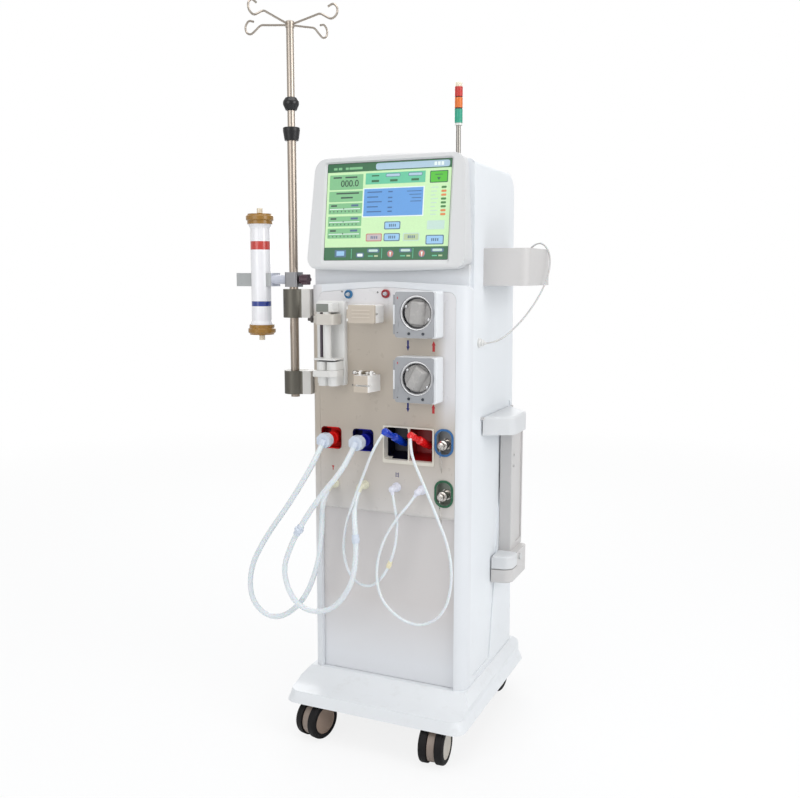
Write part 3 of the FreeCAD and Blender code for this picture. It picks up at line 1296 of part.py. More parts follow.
def buildPieces():
    pieces = {
        "base_cover": [makeBaseCover()],
        "chassis_frame": [makeChassis()] + makeCasterSockets(),
        "main_housing": [makeHousing()],
        "rear_cover": makeRearCover(),
        "power_switch": [makePowerSwitch()],
        "front_fascia": [makeFascia()],
        "touch_screen": [makeScreen()],
        "front_panel": [makePanel()],
        "lower_door": [makeLowerDoor()],
        "pump_housings": [makePumpHousing(z) for z in pumpCentresZ],
        "syringe_pump_base": [makeSyringeBase()],
        "syringe_carriage": [makeSyringeCarriage()],
        "syringe_release_lever": [makeReleaseLever()],
        "syringe_barrel_clamp": [makeBarrelClamp()],
        "air_detector_body": [makeDetectorBody()],
        "air_detector_door": [makeDetectorDoor()],
        "venous_clamp_body": [makeVenousClamp()],
        "venous_clamp_plunger": [makePlunger()],
        "pressure_ports": [makePressurePort(x, z) for x, z in pressurePorts],
        "hose_seats": [makeHoseSeat(x, z) for x, z in hoseSeats],
        "rinse_housing": [makeRinseHousing()],
        "rinse_wands": [makeWand(dock, tip, hoseRoutes[line][1])
                        for dock, tip, line in zip(rinseDocks, wandTips, ("hose_three", "hose_four"))],
        "disinfectant_ports": [piece for z in ovalCentresZ for piece in makeDisinfectantCup(z)],
        "concentrate_nipples": [makeNipple(place, hoseRoutes[line][1], hoseRoutes[line][0] + 0.8)
                                for place, line in zip(nipples, hoseRoutes)],
        "cuff_tube": [makeCuffTube()],
        "cuff_basket": [makeBasket()],
        "cuff_fittings": makeCuffFittings(),
        "pole_brackets": [makeBracket(low, high) for low, high in bracketSpans],
        "pole_outer_tube": [makeOuterTube()],
        "pole_collar": [makeCollar()],
        "pole_inner_tube": [makeInnerTube()],
        "dialyser_clamp": [makeDialyserClamp()],
        "clamp_knob": [makeKnob()],
        "dialyser_holder": [makeHolder()],
        "dialyser_body": [makeDialyserBody()],
        "dialyser_caps": [makeDialyserCap(way) for way in (1, -1)],
        "signal_tower": makeSignalTower(),
        "cartridge_column": makeCartridgeColumn(),
        "cartridge_lid": [makeCartridgeLid()],
        "cartridge_button": [makeCartridgeButton()],
        "cartridge_arm": [makeCartridgeArm()],
    }
    for level, z, angle, crank in zip(("upper", "lower"), pumpCentresZ, rotorAngles, crankAngles):
        pieces["pump_door_" + level] = [makePumpDoor(z)]
        pieces["pump_rotor_" + level] = [makeRotor(z, angle, crank)]
        pieces["pump_rollers_" + level] = makeRollers(z, angle)
    for name, place in casterPlaces().items():
        pieces["caster_swivel_" + name] = [makeCasterSwivel(place)]
        pieces["caster_wheels_" + name] = [makeCasterWheels(place)]
    hoses = makeHoses()
    for name, solid in hoses.items():
        pieces[name] = [solid]
    connectors = [makeConnector(x + connectorShift, z, hoseRoutes[line][1])
                  for (x, z), line in zip(hoseSeats, hoseRoutes)]
    pieces["hose_fittings"] = connectors + [makeInlineFitting(*fitting) for fitting in inlineFittings]
    return pieces


def outlineMiddle(pieces):
    """Middle of the whole outline seen from above, without the hoses and the cuff tube."""
    rigid = [solid for name, solids in pieces.items() for solid in solids
             if name not in hoseRoutes and name != "cuff_tube"]
    whole = Part.makeCompound(rigid).optimalBoundingBox(False, False)
    return whole.Center.x, whole.Center.y


def export(pieces):
    os.makedirs("parts", exist_ok=True)
    middleX, middleY = outlineMiddle(pieces)
    print("outline middle", round(middleX, 3), round(middleY, 3))
    for name, solids in pieces.items():
        shape = solids[0] if len(solids) == 1 else Part.makeCompound(solids)
        shape = shape.copy()
        shape.translate(Vector(-middleX, -middleY, 0))
        shape.exportStep(os.path.join("parts", name + ".step"))


export(buildPieces())
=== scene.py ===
import bpy
import bmesh
import math
from mathutils import Matrix, Vector


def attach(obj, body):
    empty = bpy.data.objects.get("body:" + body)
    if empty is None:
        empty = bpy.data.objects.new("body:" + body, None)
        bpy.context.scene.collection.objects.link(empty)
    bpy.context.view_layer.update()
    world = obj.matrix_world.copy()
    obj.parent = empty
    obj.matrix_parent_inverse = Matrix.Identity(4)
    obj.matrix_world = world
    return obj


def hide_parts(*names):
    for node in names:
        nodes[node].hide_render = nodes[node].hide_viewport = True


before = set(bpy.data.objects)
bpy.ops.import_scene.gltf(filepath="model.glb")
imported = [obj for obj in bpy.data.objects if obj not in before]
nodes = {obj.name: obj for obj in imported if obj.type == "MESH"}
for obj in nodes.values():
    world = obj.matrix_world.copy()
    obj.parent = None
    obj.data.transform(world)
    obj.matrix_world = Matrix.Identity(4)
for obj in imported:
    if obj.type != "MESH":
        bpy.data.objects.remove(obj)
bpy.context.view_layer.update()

# All places are in millimetres from the cabinet's front plane: x from its middle, z from the floor.
layout = {"shiftX": 49.0, "shiftY": -137.355}


def at(x, y, z):
    return Vector(((x + layout["shiftX"]) / 1000, (y + layout["shiftY"]) / 1000, z / 1000))


def srgb(red, green, blue):
    steps = [value / 255 for value in (red, green, blue)]
    return tuple(s / 12.92 if s < 0.04045 else ((s + 0.055) / 1.055) ** 2.4 for s in steps) + (1.0,)


# Camera where the photographer stood: to the right, at chest height, looking a little down
cameraView = {"place": (884.3, -1913.8, 1116.5), "turn": 23.88, "tilt": -7.74, "lens": 41.23}


def makeCamera():
    data = bpy.data.cameras.new("photoCamera")
    data.lens = cameraView["lens"]
    data.sensor_width = 36.0
    data.clip_end = 60.0
    camera = bpy.data.objects.new("photoCamera", data)
    bpy.context.collection.objects.link(camera)
    camera.location = at(*cameraView["place"])
    camera.rotation_euler = (math.radians(90 + cameraView["tilt"]), 0, math.radians(cameraView["turn"]))
    bpy.context.scene.camera = camera


makeCamera()
print("camera set")


# Shader maths: a Shade wraps one socket and takes part in ordinary sums
class Shade:
    def __init__(self, finish, socket):
        self.finish = finish
        self.socket = socket

    def maths(self, operation, first, second=0.0, clamp=False):
        settings = {"operation": operation, "use_clamp": clamp}
        return self.finish.node("ShaderNodeMath", settings, {0: first, 1: second})

    def __add__(self, other):
        return self.maths("ADD", self, other)

    def __sub__(self, other):
        return self.maths("SUBTRACT", self, other)

    def __rsub__(self, other):
        return self.maths("SUBTRACT", other, self)

    def __mul__(self, other):
        return self.maths("MULTIPLY", self, other)

    def __truediv__(self, other):
        return self.maths("DIVIDE", self, other)

    def __gt__(self, other):
        return self.maths("GREATER_THAN", self, other)

    def __lt__(self, other):
        return self.maths("LESS_THAN", self, other)

    def __abs__(self):
        return self.maths("ABSOLUTE", self)

    def root(self):
        return self.maths("SQRT", self)

    def wave(self):
        return self.maths("SINE", self)

    def larger(self, other):
        return self.maths("MAXIMUM", self, other)

    def held(self):
        return self.maths("ADD", self, 0.0, True)

    def rise(self, low, high):
        return ((self - low) / (high - low)).held()

    def between(self, low, high):
        return (self > low) * (self < high)


class Finish:
    def __init__(self, name, color, roughness=0.4, **rest):
        self.material = bpy.data.materials.new(name)
        self.material.use_nodes = True
        self.tree = self.material.node_tree
        self.shader = self.tree.nodes["Principled BSDF"]
        self.tone = color
        self.constant("Base Color", color)
        self.constant("Roughness", roughness)
        for socket, value in rest.items():
            self.constant(socket.replace("_", " "), value)
        self.coordinates = self.node("ShaderNodeTexCoord", {}, {}, "Object")

    def node(self, kind, settings, inputs, output=0):
        made = self.tree.nodes.new(kind)
        for key, value in settings.items():
            setattr(made, key, value)
        for key, value in inputs.items():
            if isinstance(value, Shade):
                self.tree.links.new(value.socket, made.inputs[key])
            else:
                made.inputs[key].default_value = value
        return Shade(self, made.outputs[output])

    def constant(self, socket, value):
        self.shader.inputs[socket].default_value = value

    def feed(self, socket, shade):
        self.tree.links.new(shade.socket, self.shader.inputs[socket])

    def paint(self, color):
        self.tone = color
        self.feed("Base Color", color)

    # Lays a tone over the colour so far, where the share is 1
    def cover(self, share, tone):
        self.paint(self.mix(share, self.tone, tone))

    # Distance in millimetres along one axis of the layout
    def along(self, axis):
        split = self.node("ShaderNodeSeparateXYZ", {}, {0: self.coordinates}, "XYZ".index(axis.upper()))
        return split * 1000 - {"x": layout["shiftX"], "y": layout["shiftY"], "z": 0.0}[axis]

    def places(self):
        return [self.along(axis) for axis in "xyz"]

    def noise(self, scale, detail=3.0, roughness=0.55, stretch=(1, 1, 1)):
        place = self.node("ShaderNodeMapping", {}, {"Vector": self.coordinates, "Scale": stretch})
        return self.node("ShaderNodeTexNoise", {}, {"Vector": place, "Scale": scale, "Detail": detail,
                                                    "Roughness": roughness})

    def mix(self, share, first, second):
        return self.node("ShaderNodeMix", {"data_type": "RGBA"}, {0: share, 6: first, 7: second}, 2)

    def bump(self, height, distance, strength=1.0):
        self.feed("Normal", self.node("ShaderNodeBump", {}, {"Height": height, "Distance": distance,
                                                             "Strength": strength}))


def shaded(color, factor):
    return tuple(min(1.0, value * factor) for value in color[:3]) + (1.0,)


# Moulded plastic: broad tone drift, pin-point grain in the bump and a slightly uneven gloss
def plastic(name, color, roughness, grain=1.0, drift=0.05, **rest):
    finish = Finish(name, color, roughness, **rest)
    broad = finish.noise(9.0, 4.0)
    finish.paint(finish.mix(broad, shaded(color, 1 - drift), shaded(color, 1 + drift * 0.5)))
    finish.feed("Roughness", finish.noise(60.0) * 0.16 + (roughness - 0.08))
    finish.bump(finish.noise(2200.0, 2.0), 0.00012 * grain, 0.35)
    return finish


# Metal: drawn or cast streaks along the directions that brushed stretches least
def metal(name, color, roughness, brushed=(1, 1, 30)):
    finish = Finish(name, color, roughness, Metallic=1.0)
    streaks = finish.noise(140.0, 3.0, 0.6, brushed)
    finish.paint(finish.mix(streaks, shaded(color, 0.82), shaded(color, 1.08)))
    finish.feed("Roughness", streaks * 0.22 + (roughness - 0.1))
    finish.bump(streaks, 0.00006, 0.4)
    return finish


def dress(finish, *names):
    for name in names:
        node = nodes[name]
        for place in node.material_slots:
            place.material = finish.material
        if not node.material_slots:
            node.data.materials.append(finish.material)


print("finishes ready")


# Free hoses and the cuff's air tube: the same route points as the solids
hoseTones = {"milky": srgb(226, 233, 237), "grey": srgb(196, 197, 196)}
cords = {
    "hose_one": {"radius": 6.5, "length": 0.90, "points": [
        (-139.9, -56, 719.2), (-143, -64, 704), (-161, -76, 662), (-215, -78, 578), (-287, -74, 485),
        (-339, -68, 396), (-339, -62, 307), (-273, -58, 270), (-195, -58, 326), (-149, -60, 429),
        (-139, -58, 520), (-143, -50, 581), (-136.7, -34.5, 607.1)]},
    "hose_two": {"radius": 6.5, "length": 0.83, "points": [
        (-56, -56, 719.2), (-60, -65, 704), (-76, -80, 667), (-119, -88, 615), (-164, -92, 552),
        (-204, -90, 486), (-237, -84, 406), (-199, -78, 320), (-112, -78, 321), (-52, -80, 392),
        (-38, -78, 472), (-49, -66, 547), (-58, -50, 587), (-55.3, -34.9, 611)]},
    "hose_three": {"radius": 3.25, "length": 0.66, "points": [
        (21.3, -62.7, 757.3), (14, -72, 743), (-2, -76, 710), (-22, -72, 664), (-46, -66, 612),
        (-76, -60, 538), (-86, -56, 468), (-68, -52, 406), (-20, -52, 386), (22, -54, 424),
        (45, -52, 481), (52, -46, 542), (41, -38, 585), (32.7, -31.1, 611.9)]},
    "hose_four": {"radius": 3.25, "length": 0.85, "points": [
        (86.2, -53, 751), (91, -64, 736), (98, -66, 706), (119, -62, 658), (149, -60, 590),
        (184, -60, 511), (192, -60, 430), (172, -62, 354), (116, -62, 318), (62, -64, 330),
        (16, -66, 371), (2, -62, 436), (18, -58, 506), (52, -54, 564), (76, -42, 594),
        (86.9, -33, 612.6)]},
    "cuff_tube": {"radius": 2.0, "length": 0.36, "points": [
        (218, 79, 961), (231, 85, 963), (248, 100, 970), (268, 126, 992), (291, 152, 1024),
        (308, 180, 1060), (317, 212, 1094), (320, 240, 1128), (316, 256, 1162), (303, 260, 1186),
        (283, 258, 1194), (268, 252, 1178)]},
}


def hoseFinish(name, color, roughness):
    finish = Finish(name, color, roughness, Coat_Weight=0.35, Coat_Roughness=0.12,
                    Subsurface_Weight=0.12, Subsurface_Scale=0.004)
    cloud = finish.noise(34.0, 3.0)
    finish.paint(finish.mix(cloud, shaded(color, 0.93), shaded(color, 1.03)))
    finish.feed("Roughness", finish.noise(220.0) * 0.12 + (roughness - 0.06))
    finish.bump(finish.noise(700.0, 2.0), 0.0001, 0.25)
    return finish


def makeCord(name, plan, finish):
    curve = bpy.data.curves.new(name + "_line", "CURVE")
    curve.dimensions = "3D"
    line = curve.splines.new("NURBS")
    line.points.add(len(plan["points"]) - 1)
    for point, place in zip(line.points, plan["points"]):
        point.co = (*at(*place), 1.0)
    line.order_u = 3
    line.use_endpoint_u = True
    line.resolution_u = 10
    curve.bevel_depth = plan["radius"] / 1000
    curve.bevel_resolution = 5
    curve.use_fill_caps = True
    curve.materials.append(finish.material)
    piece = bpy.data.objects.new(name + "_line", curve)
    bpy.context.collection.objects.link(piece)
    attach(piece, "machine")
    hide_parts(name)
    tuple(at(*plan["points"][0]))
    plan["radius"] * 2 / 1000
    return piece


milky = hoseFinish("milkyHose", hoseTones["milky"], 0.28)
greyTube = hoseFinish("greyTube", hoseTones["grey"], 0.4)
for name, plan in cords.items():
    cuff = name == "cuff_tube"
    piece = makeCord(name, plan, greyTube if cuff else milky)
print("hoses and cuff tube laid")


# Studio: pale floor, white surroundings and soft lamps
studio = {"ambient": 0.57, "gloss": 0.72, "floor": srgb(236, 238, 240), "floorSize": 14.0,
          "glow": (0.84, 1.0), "fade": (1.2, 4.5)}
studioLamps = {
    "overhead": {"place": (300, -300, 3400), "aim": (0, 150, 700), "size": 2.6, "power": 35},
    "rightSoft": {"place": (2900, -500, 1900), "aim": (100, 150, 800), "size": 2.2, "power": 35},
    "frontSoft": {"place": (-900, -2900, 1700), "aim": (0, 100, 800), "size": 2.0, "power": 18},
    "rearSoft": {"place": (-1200, 2600, 2000), "aim": (0, 200, 800), "size": 2.0, "power": 26},
}


def makeLamps():
    for name, lamp in studioLamps.items():
        data = bpy.data.lights.new(name, "AREA")
        data.shape = "DISK"
        data.size = lamp["size"]
        data.energy = lamp["power"]
        light = bpy.data.objects.new(name, data)
        bpy.context.collection.objects.link(light)
        light.location = at(*lamp["place"])
        aim = at(*lamp["aim"]) - light.location
        light.rotation_euler = aim.to_track_quat("-Z", "Y").to_euler()


def makeWorld():
    world = bpy.data.worlds.new("studio")
    bpy.context.scene.world = world
    world.use_nodes = True
    tree = world.node_tree
    background = tree.nodes["Background"]
    background.inputs["Color"].default_value = (1.0, 1.0, 1.0, 1.0)
    rays = tree.nodes.new("ShaderNodeLightPath").outputs

    def maths(operation, *values):
        made = tree.nodes.new("ShaderNodeMath")
        made.operation = operation
        for socket, value in zip(made.inputs, values):
            if isinstance(value, bpy.types.NodeSocket):
                tree.links.new(value, socket)
            else:
                socket.default_value = value
        return made.outputs[0]

    seen = maths("MAXIMUM", rays["Is Camera Ray"], rays["Is Transmission Ray"])
    extra = studio["gloss"] - studio["ambient"]
    glossy = maths("MULTIPLY_ADD", rays["Is Glossy Ray"], extra, studio["ambient"])
    tree.links.new(maths("MAXIMUM", seen, glossy), background.inputs["Strength"])


def makeFloor():
    mesh = bmesh.new()
    bmesh.ops.create_grid(mesh, x_segments=1, y_segments=1, size=studio["floorSize"])
    data = bpy.data.meshes.new("studioFloor")
    mesh.to_mesh(data)
    mesh.free()
    floor = bpy.data.objects.new("studioFloor", data)
    bpy.context.collection.objects.link(floor)
    finish = Finish("studioFloor", studio["floor"], 0.9)
    tree = finish.tree
    glow = tree.nodes.new("ShaderNodeEmission")
    path = finish.node("ShaderNodeLightPath", {}, {}, "Is Camera Ray")
    away = finish.node("ShaderNodeVectorMath", {"operation": "LENGTH"}, {0: finish.coordinates}, "Value")
    near, far = studio["glow"]
    share = path * (away.rise(*studio["fade"]) * (far - near) + near)
    blend = tree.nodes.new("ShaderNodeMixShader")
    tree.links.new(share.socket, blend.inputs[0])
    tree.links.new(finish.shader.outputs[0], blend.inputs[1])
    tree.links.new(glow.outputs[0], blend.inputs[2])
    tree.links.new(blend.outputs[0], tree.nodes["Material Output"].inputs["Surface"])
    data.materials.append(finish.material)


makeLamps()
makeWorld()
makeFloor()
bpy.context.scene.view_settings.view_transform = "Standard"
print("studio lit")


# Distance from the middle of a round feature, for masks; flatten makes it an oval
def reach(across, up, middle, flatten=1.0):
    x, z = across - middle[0], up - middle[1]
    return (x * x * flatten + z * z).root()


def anyOf(masks):
    whole = masks[0]
    for mask in masks[1:]:
        whole = whole.larger(mask)
    return whole


# Main shell: warm white, greyer towards the bottom, with scuffs on its foot
shell = {"color": srgb(232, 236, 240), "foot": srgb(218, 219, 220), "scuff": srgb(196, 195, 192),
         "footRise": (80.0, 420.0), "scuffRise": (0.55, 0.8), "footShare": 0.35}


def paintShell():
    finish = plastic("shellWhite", shell["color"], 0.36, drift=0.04)
    low = 1 - finish.along("z").rise(*shell["footRise"])
    scuffs = finish.noise(26.0, 5.0, 0.7).rise(*shell["scuffRise"]) * low * shell["footShare"]
    finish.cover(low * shell["footShare"], shell["foot"])
    finish.cover(scuffs, shell["scuff"])
    dress(finish, "base_cover", "main_housing")


# Side fittings: the same white plastic, painted a shade or two greyer as painted shade where they sit out of
# the light
shadedFittingTones = {"holder": srgb(218, 220, 222), "column": srgb(206, 204, 203), "button": srgb(205, 206, 206)}


def paintSideFittings():
    dress(plastic("fittingGrey", shadedFittingTones["holder"], 0.38), "cartridge_lid", "cartridge_arm")
    dress(plastic("fittingDull", shadedFittingTones["column"], 0.4), "cartridge_column", "cuff_basket")
    dress(plastic("buttonGrey", shadedFittingTones["button"], 0.35), "cartridge_button")


# Front panel: pale warm grey with painted light and shade: painted shade darkest in the middle, painted
# light above and beside the pumps, lighter again low down
panel = {"top": srgb(221, 220, 222), "middle": srgb(188, 178, 165), "low": srgb(211, 207, 204),
         "litTopRise": (1008.0, 1058.0), "lowRise": (560.0, 760.0),
         "litSideRise": (122.0, 150.0), "litSideFoot": (730.0, 840.0)}


# Painted light and shade by height: the lit top tone above, the shaded middle tone, a lighter tone low down
def panelShade(finish, middle, light):
    height = finish.along("z")
    upper = finish.mix(height.rise(*panel["litTopRise"]).larger(light), middle, panel["top"])
    return finish.mix(1 - height.rise(*panel["lowRise"]), upper, panel["low"])


def paintPanel():
    finish = plastic("panelPaint", panel["middle"], 0.3, drift=0.015, Coat_Weight=0.2, Coat_Roughness=0.2)
    # Painted light on the band to the right of the pumps
    light = finish.along("x").rise(*panel["litSideRise"]) * finish.along("z").rise(*panel["litSideFoot"])
    finish.paint(panelShade(finish, finish.tone, light))
    dress(finish, "front_panel")


# Front frame: white, greyer round the screen's head; its left column gets the panel's painted shade
fascia = {"color": srgb(226, 229, 233), "head": srgb(213, 214, 215), "headRise": (1110.0, 1135.0),
          "columnEdge": -165.0, "columnFoot": (430.0, 560.0), "columnTop": (1085.0, 1100.0)}


def paintFascia():
    finish = plastic("fasciaWhite", fascia["color"], 0.34)
    height = finish.along("z")
    finish.cover(height.rise(*fascia["headRise"]), fascia["head"])
    # Painted shade on the left column, in the panel's shaded tones
    column = (finish.along("x") < fascia["columnEdge"]) * height.rise(*fascia["columnFoot"])
    column = column * (1 - height.rise(*fascia["columnTop"]))
    finish.cover(column, panelShade(finish, panel["middle"], 0.0))
    dress(finish, "front_fascia")


door = {"color": srgb(211, 207, 206), "foot": srgb(223, 225, 229), "footRise": (190.0, 340.0)}


def paintDoor():
    finish = plastic("doorPaint", door["color"], 0.34, drift=0.04)
    foot = 1 - finish.along("z").rise(*door["footRise"])
    finish.cover(foot, door["foot"])
    dress(finish, "lower_door")


# Rear cover: its own plate, with a black appliance inlet, plated pins and a black rocker switch
rear = {"color": srgb(222, 225, 228), "inlet": srgb(30, 31, 33), "inletX": (-149.0, -53.0),
        "inletZ": (253.0, 299.0), "pin": srgb(200, 190, 150), "pinX": (-125.0, -107.0),
        "pinY": (346.5, 362.0), "pinZ": (268.0, 284.0)}
rocker = {"color": srgb(26, 27, 29), "mark": srgb(225, 225, 225), "markX": (-68.8, -67.2),
          "markZ": (280.0, 285.0)}
frameTone = srgb(150, 153, 158)


def paintRear():
    finish = plastic("rearPaint", rear["color"], 0.45)
    x, y, z = finish.places()
    inlet = x.between(*rear["inletX"]) * z.between(*rear["inletZ"])
    pins = x.between(*rear["pinX"]) * y.between(*rear["pinY"]) * z.between(*rear["pinZ"])
    finish.cover(inlet, rear["inlet"])
    finish.cover(pins, rear["pin"])
    finish.feed("Metallic", pins)
    dress(finish, "rear_cover")
    finish = plastic("switchPaint", rocker["color"], 0.35)
    mark = finish.along("x").between(*rocker["markX"]) * finish.along("z").between(*rocker["markZ"])
    finish.cover(mark, rocker["mark"])
    dress(finish, "power_switch")
    dress(metal("frameSteel", frameTone, 0.5), "chassis_frame")


# Blood pumps: white heads with a raceway painted pale as painted reflection of its polished steel, grey
# doors with screw heads, worn grey rotors
pumps = {"x": 95.5, "levels": {"upper": 1032.0, "lower": 886.0}, "raceway": 42.0, "ringY": (-41.0, -11.5),
         "motorY": 4.0, "screwX": (78.0, 112.0), "screwDrop": 46.0, "screwRadius": 3.3}
pumpTones = {"head": srgb(228, 231, 234), "steel": (srgb(150, 152, 156), srgb(226, 228, 232)),
             "motor": srgb(52, 53, 56), "door": srgb(160, 162, 166), "screw": srgb(62, 66, 72),
             "rotor": srgb(172, 170, 168), "rubbed": srgb(205, 203, 200), "roller": srgb(222, 222, 218)}


def paintPumpHeads():
    finish = plastic("pumpWhite", pumpTones["head"], 0.38)
    x, y, z = finish.places()
    rings = anyOf([reach(x, z, (pumps["x"], level)) < pumps["raceway"]
                   for level in pumps["levels"].values()])
    inside = rings * y.between(*pumps["ringY"])
    motor = y > pumps["motorY"]
    # Raceway steel painted pale and only part metallic: painted reflection, so it shows bright in its shaded
    # hollow
    steel = finish.mix(finish.noise(30.0, 2.0, 0.5), *pumpTones["steel"])
    finish.cover(inside, steel)
    finish.cover(motor, pumpTones["motor"])
    finish.feed("Metallic", inside * 0.35 + motor * 0.9)
    finish.feed("Roughness", 0.38 - inside * 0.14)
    dress(finish, "pump_housings")


def paintPumpDoors():
    finish = plastic("pumpDoorGrey", pumpTones["door"], 0.4, drift=0.08, Coat_Weight=0.15)
    x, z = finish.along("x"), finish.along("z")
    places = [(screwX, level - pumps["screwDrop"]) for level in pumps["levels"].values()
              for screwX in pumps["screwX"]]
    screws = anyOf([reach(x, z, place) < pumps["screwRadius"] for place in places])
    finish.cover(screws, pumpTones["screw"])
    finish.feed("Metallic", screws * 0.6 + 0.15)
    dress(finish, "pump_door_upper", "pump_door_lower")


def paintRotors():
    finish = plastic("rotorGrey", pumpTones["rotor"], 0.42, grain=2.0, drift=0.1)
    rubbed = finish.noise(70.0, 5.0, 0.65).rise(0.5, 0.75)
    finish.cover(rubbed * 0.5, pumpTones["rubbed"])
    dress(finish, "pump_rotor_upper", "pump_rotor_lower")
    dress(plastic("rollerWhite", pumpTones["roller"], 0.3), "pump_rollers_upper", "pump_rollers_lower")


# Syringe pump: white plate, grey block face, black line at the flange and a dark guide rod
syringe = {"color": srgb(226, 226, 224), "block": srgb(128, 132, 126), "blockX": (-155.0, -123.0),
           "blockFront": -45.5, "blockZ": (1031.0, 1050.0), "line": srgb(28, 30, 36),
           "lineY": (-62.5, -30.0), "lineZ": (917.0, 920.5), "rod": srgb(92, 84, 92),
           "rodX": (-153.2, -144.8), "rodFront": -27.0, "rodZ": (925.0, 1029.0),
           "carriage": srgb(206, 201, 193), "clamp": srgb(222, 221, 218), "lever": srgb(70, 66, 64),
           "leverEnd": srgb(206, 202, 196), "leverEdge": -165.8}


def paintSyringePump():
    finish = plastic("syringeWhite", syringe["color"], 0.36)
    x, y, z = finish.places()
    block = x.between(*syringe["blockX"]) * z.between(*syringe["blockZ"]) * (y < syringe["blockFront"])
    line = y.between(*syringe["lineY"]) * z.between(*syringe["lineZ"])
    rod = x.between(*syringe["rodX"]) * z.between(*syringe["rodZ"]) * (y < syringe["rodFront"])
    for mask, tone in ((block, "block"), (line, "line"), (rod, "rod")):
        finish.cover(mask, syringe[tone])
    finish.feed("Metallic", rod * 0.9)
    dress(finish, "syringe_pump_base")
    dress(plastic("carriageCream", syringe["carriage"], 0.38), "syringe_carriage")
    dress(plastic("clampWhite", syringe["clamp"], 0.35), "syringe_barrel_clamp")
    finish = plastic("leverDark", syringe["lever"], 0.4)
    end = finish.along("x") < syringe["leverEdge"]
    finish.cover(end, syringe["leverEnd"])
    dress(finish, "syringe_release_lever")


# Air detector and venous clamp: beige faces on white bodies painted near-pure white as painted light against
# the pumps' shadow, a wire spring and a plated pull pin
detector = {"body": srgb(250, 249, 247), "face": srgb(198, 187, 173), "rib": srgb(228, 220, 208),
            "ribFront": -50.4}
venous = {"faceFront": -49.0, "faceTop": 888.0, "spring": srgb(120, 112, 98), "springX": (-43.5, -32.0),
          "springY": (-38.8, -31.2), "springFoot": 888.5, "pin": srgb(205, 203, 200)}


def paintDetector():
    # Body tone brighter than the other white mouldings: painted light against the pumps' shadow
    dress(plastic("detectorLitWhite", detector["body"], 0.36), "air_detector_body")
    finish = plastic("detectorBeige", detector["face"], 0.36)
    ribs = (finish.along("y") < detector["ribFront"]) * 0.4
    finish.cover(ribs, detector["rib"])
    dress(finish, "air_detector_door")


def paintVenousClamp():
    # The clamp body takes the same brightened white: painted light
    finish = plastic("clampBeige", detector["body"], 0.36)
    x, y, z = finish.places()
    face = (y < venous["faceFront"]) * (z < venous["faceTop"])
    spring = x.between(*venous["springX"]) * y.between(*venous["springY"]) * (z > venous["springFoot"])
    finish.cover(face, detector["face"])
    finish.cover(spring, venous["spring"])
    finish.feed("Metallic", spring)
    dress(finish, "venous_clamp_body")
    dress(metal("pinPlate", venous["pin"], 0.16, (1, 1, 1)), "venous_clamp_plunger")


# Pressure ports: blue ring on the left, red ring on the right, pale luer in each middle
ports = {"rings": (srgb(38, 110, 158), srgb(160, 36, 44)), "split": -45.0, "luer": srgb(205, 210, 216),
         "luerRadius": 4.6, "middles": ((-93.0, 1071.0), (2.0, 1073.0))}


def paintPorts():
    finish = plastic("portColors", ports["rings"][0], 0.3)
    x, z = finish.along("x"), finish.along("z")
    luers = anyOf([reach(x, z, middle) < ports["luerRadius"] for middle in ports["middles"]])
    rings = finish.mix(x > ports["split"], *ports["rings"])
    finish.paint(finish.mix(luers, rings, ports["luer"]))
    dress(finish, "pressure_ports")


# Hose seats: dark red and deep navy cups with brighter sleeves
seats = {"cups": (srgb(114, 0, 0), srgb(2, 2, 54)), "sleeves": (srgb(214, 22, 20), srgb(14, 22, 140)),
         "split": -100.0, "firstX": -138.8, "pitch": 84.5, "sleeveRadius": 15.4, "sleeveBack": 21.0}


def paintSeats():
    finish = plastic("seatColors", seats["cups"][0], 0.46, Specular_IOR_Level=0.15)
    x = finish.along("x")
    navySide = x > seats["split"]
    away = abs(x - seats["firstX"] - navySide * seats["pitch"])
    sleeve = (away < seats["sleeveRadius"]) * (finish.along("y") < seats["sleeveBack"])
    cups = finish.mix(navySide, *seats["cups"])
    finish.paint(finish.mix(sleeve, cups, finish.mix(navySide, *seats["sleeves"])))
    dress(finish, "hose_seats")


# Rinse dock: cream surround with navy and red wells; their lining starts behind the cream lip
dock = {"cream": srgb(222, 217, 205), "wells": (srgb(3, 3, 26), srgb(140, 6, 12)), "wellSplit": 60.0,
        "wellFront": 4.0, "wellFoot": 684.0, "lipX": 14.0, "lipY": 13.0,
        "wands": (srgb(16, 62, 186), srgb(226, 26, 30)), "wandSplit": 62.0}


def paintDock():
    finish = plastic("dockCream", dock["cream"], 0.34)
    x, y, z = finish.places()
    lip = (x < dock["lipX"]) * (y < dock["lipY"])
    wells = (y > dock["wellFront"]) * (z > dock["wellFoot"]) * (1 - lip)
    lining = finish.mix(x > dock["wellSplit"], *dock["wells"])
    finish.cover(wells, lining)
    dress(finish, "rinse_housing")
    finish = plastic("wandColors", dock["wands"][0], 0.25, Coat_Weight=0.3)
    finish.paint(finish.mix(finish.along("x") > dock["wandSplit"], *dock["wands"]))
    dress(finish, "rinse_wands")


# Disinfectant ports: green rim below, blue rim above, steel-grey cups and plated couplings
ovals = {"rims": (srgb(30, 92, 62), srgb(44, 100, 156)), "cups": (srgb(150, 158, 148), srgb(148, 150, 152)),
         "split": 680.0, "cupFront": -1.2, "plating": (srgb(150, 142, 134), srgb(238, 234, 230)),
         "couplings": ((144.5, 731.5), (144.5, 612.5)), "couplingRadius": 12.6, "flatten": 0.9}


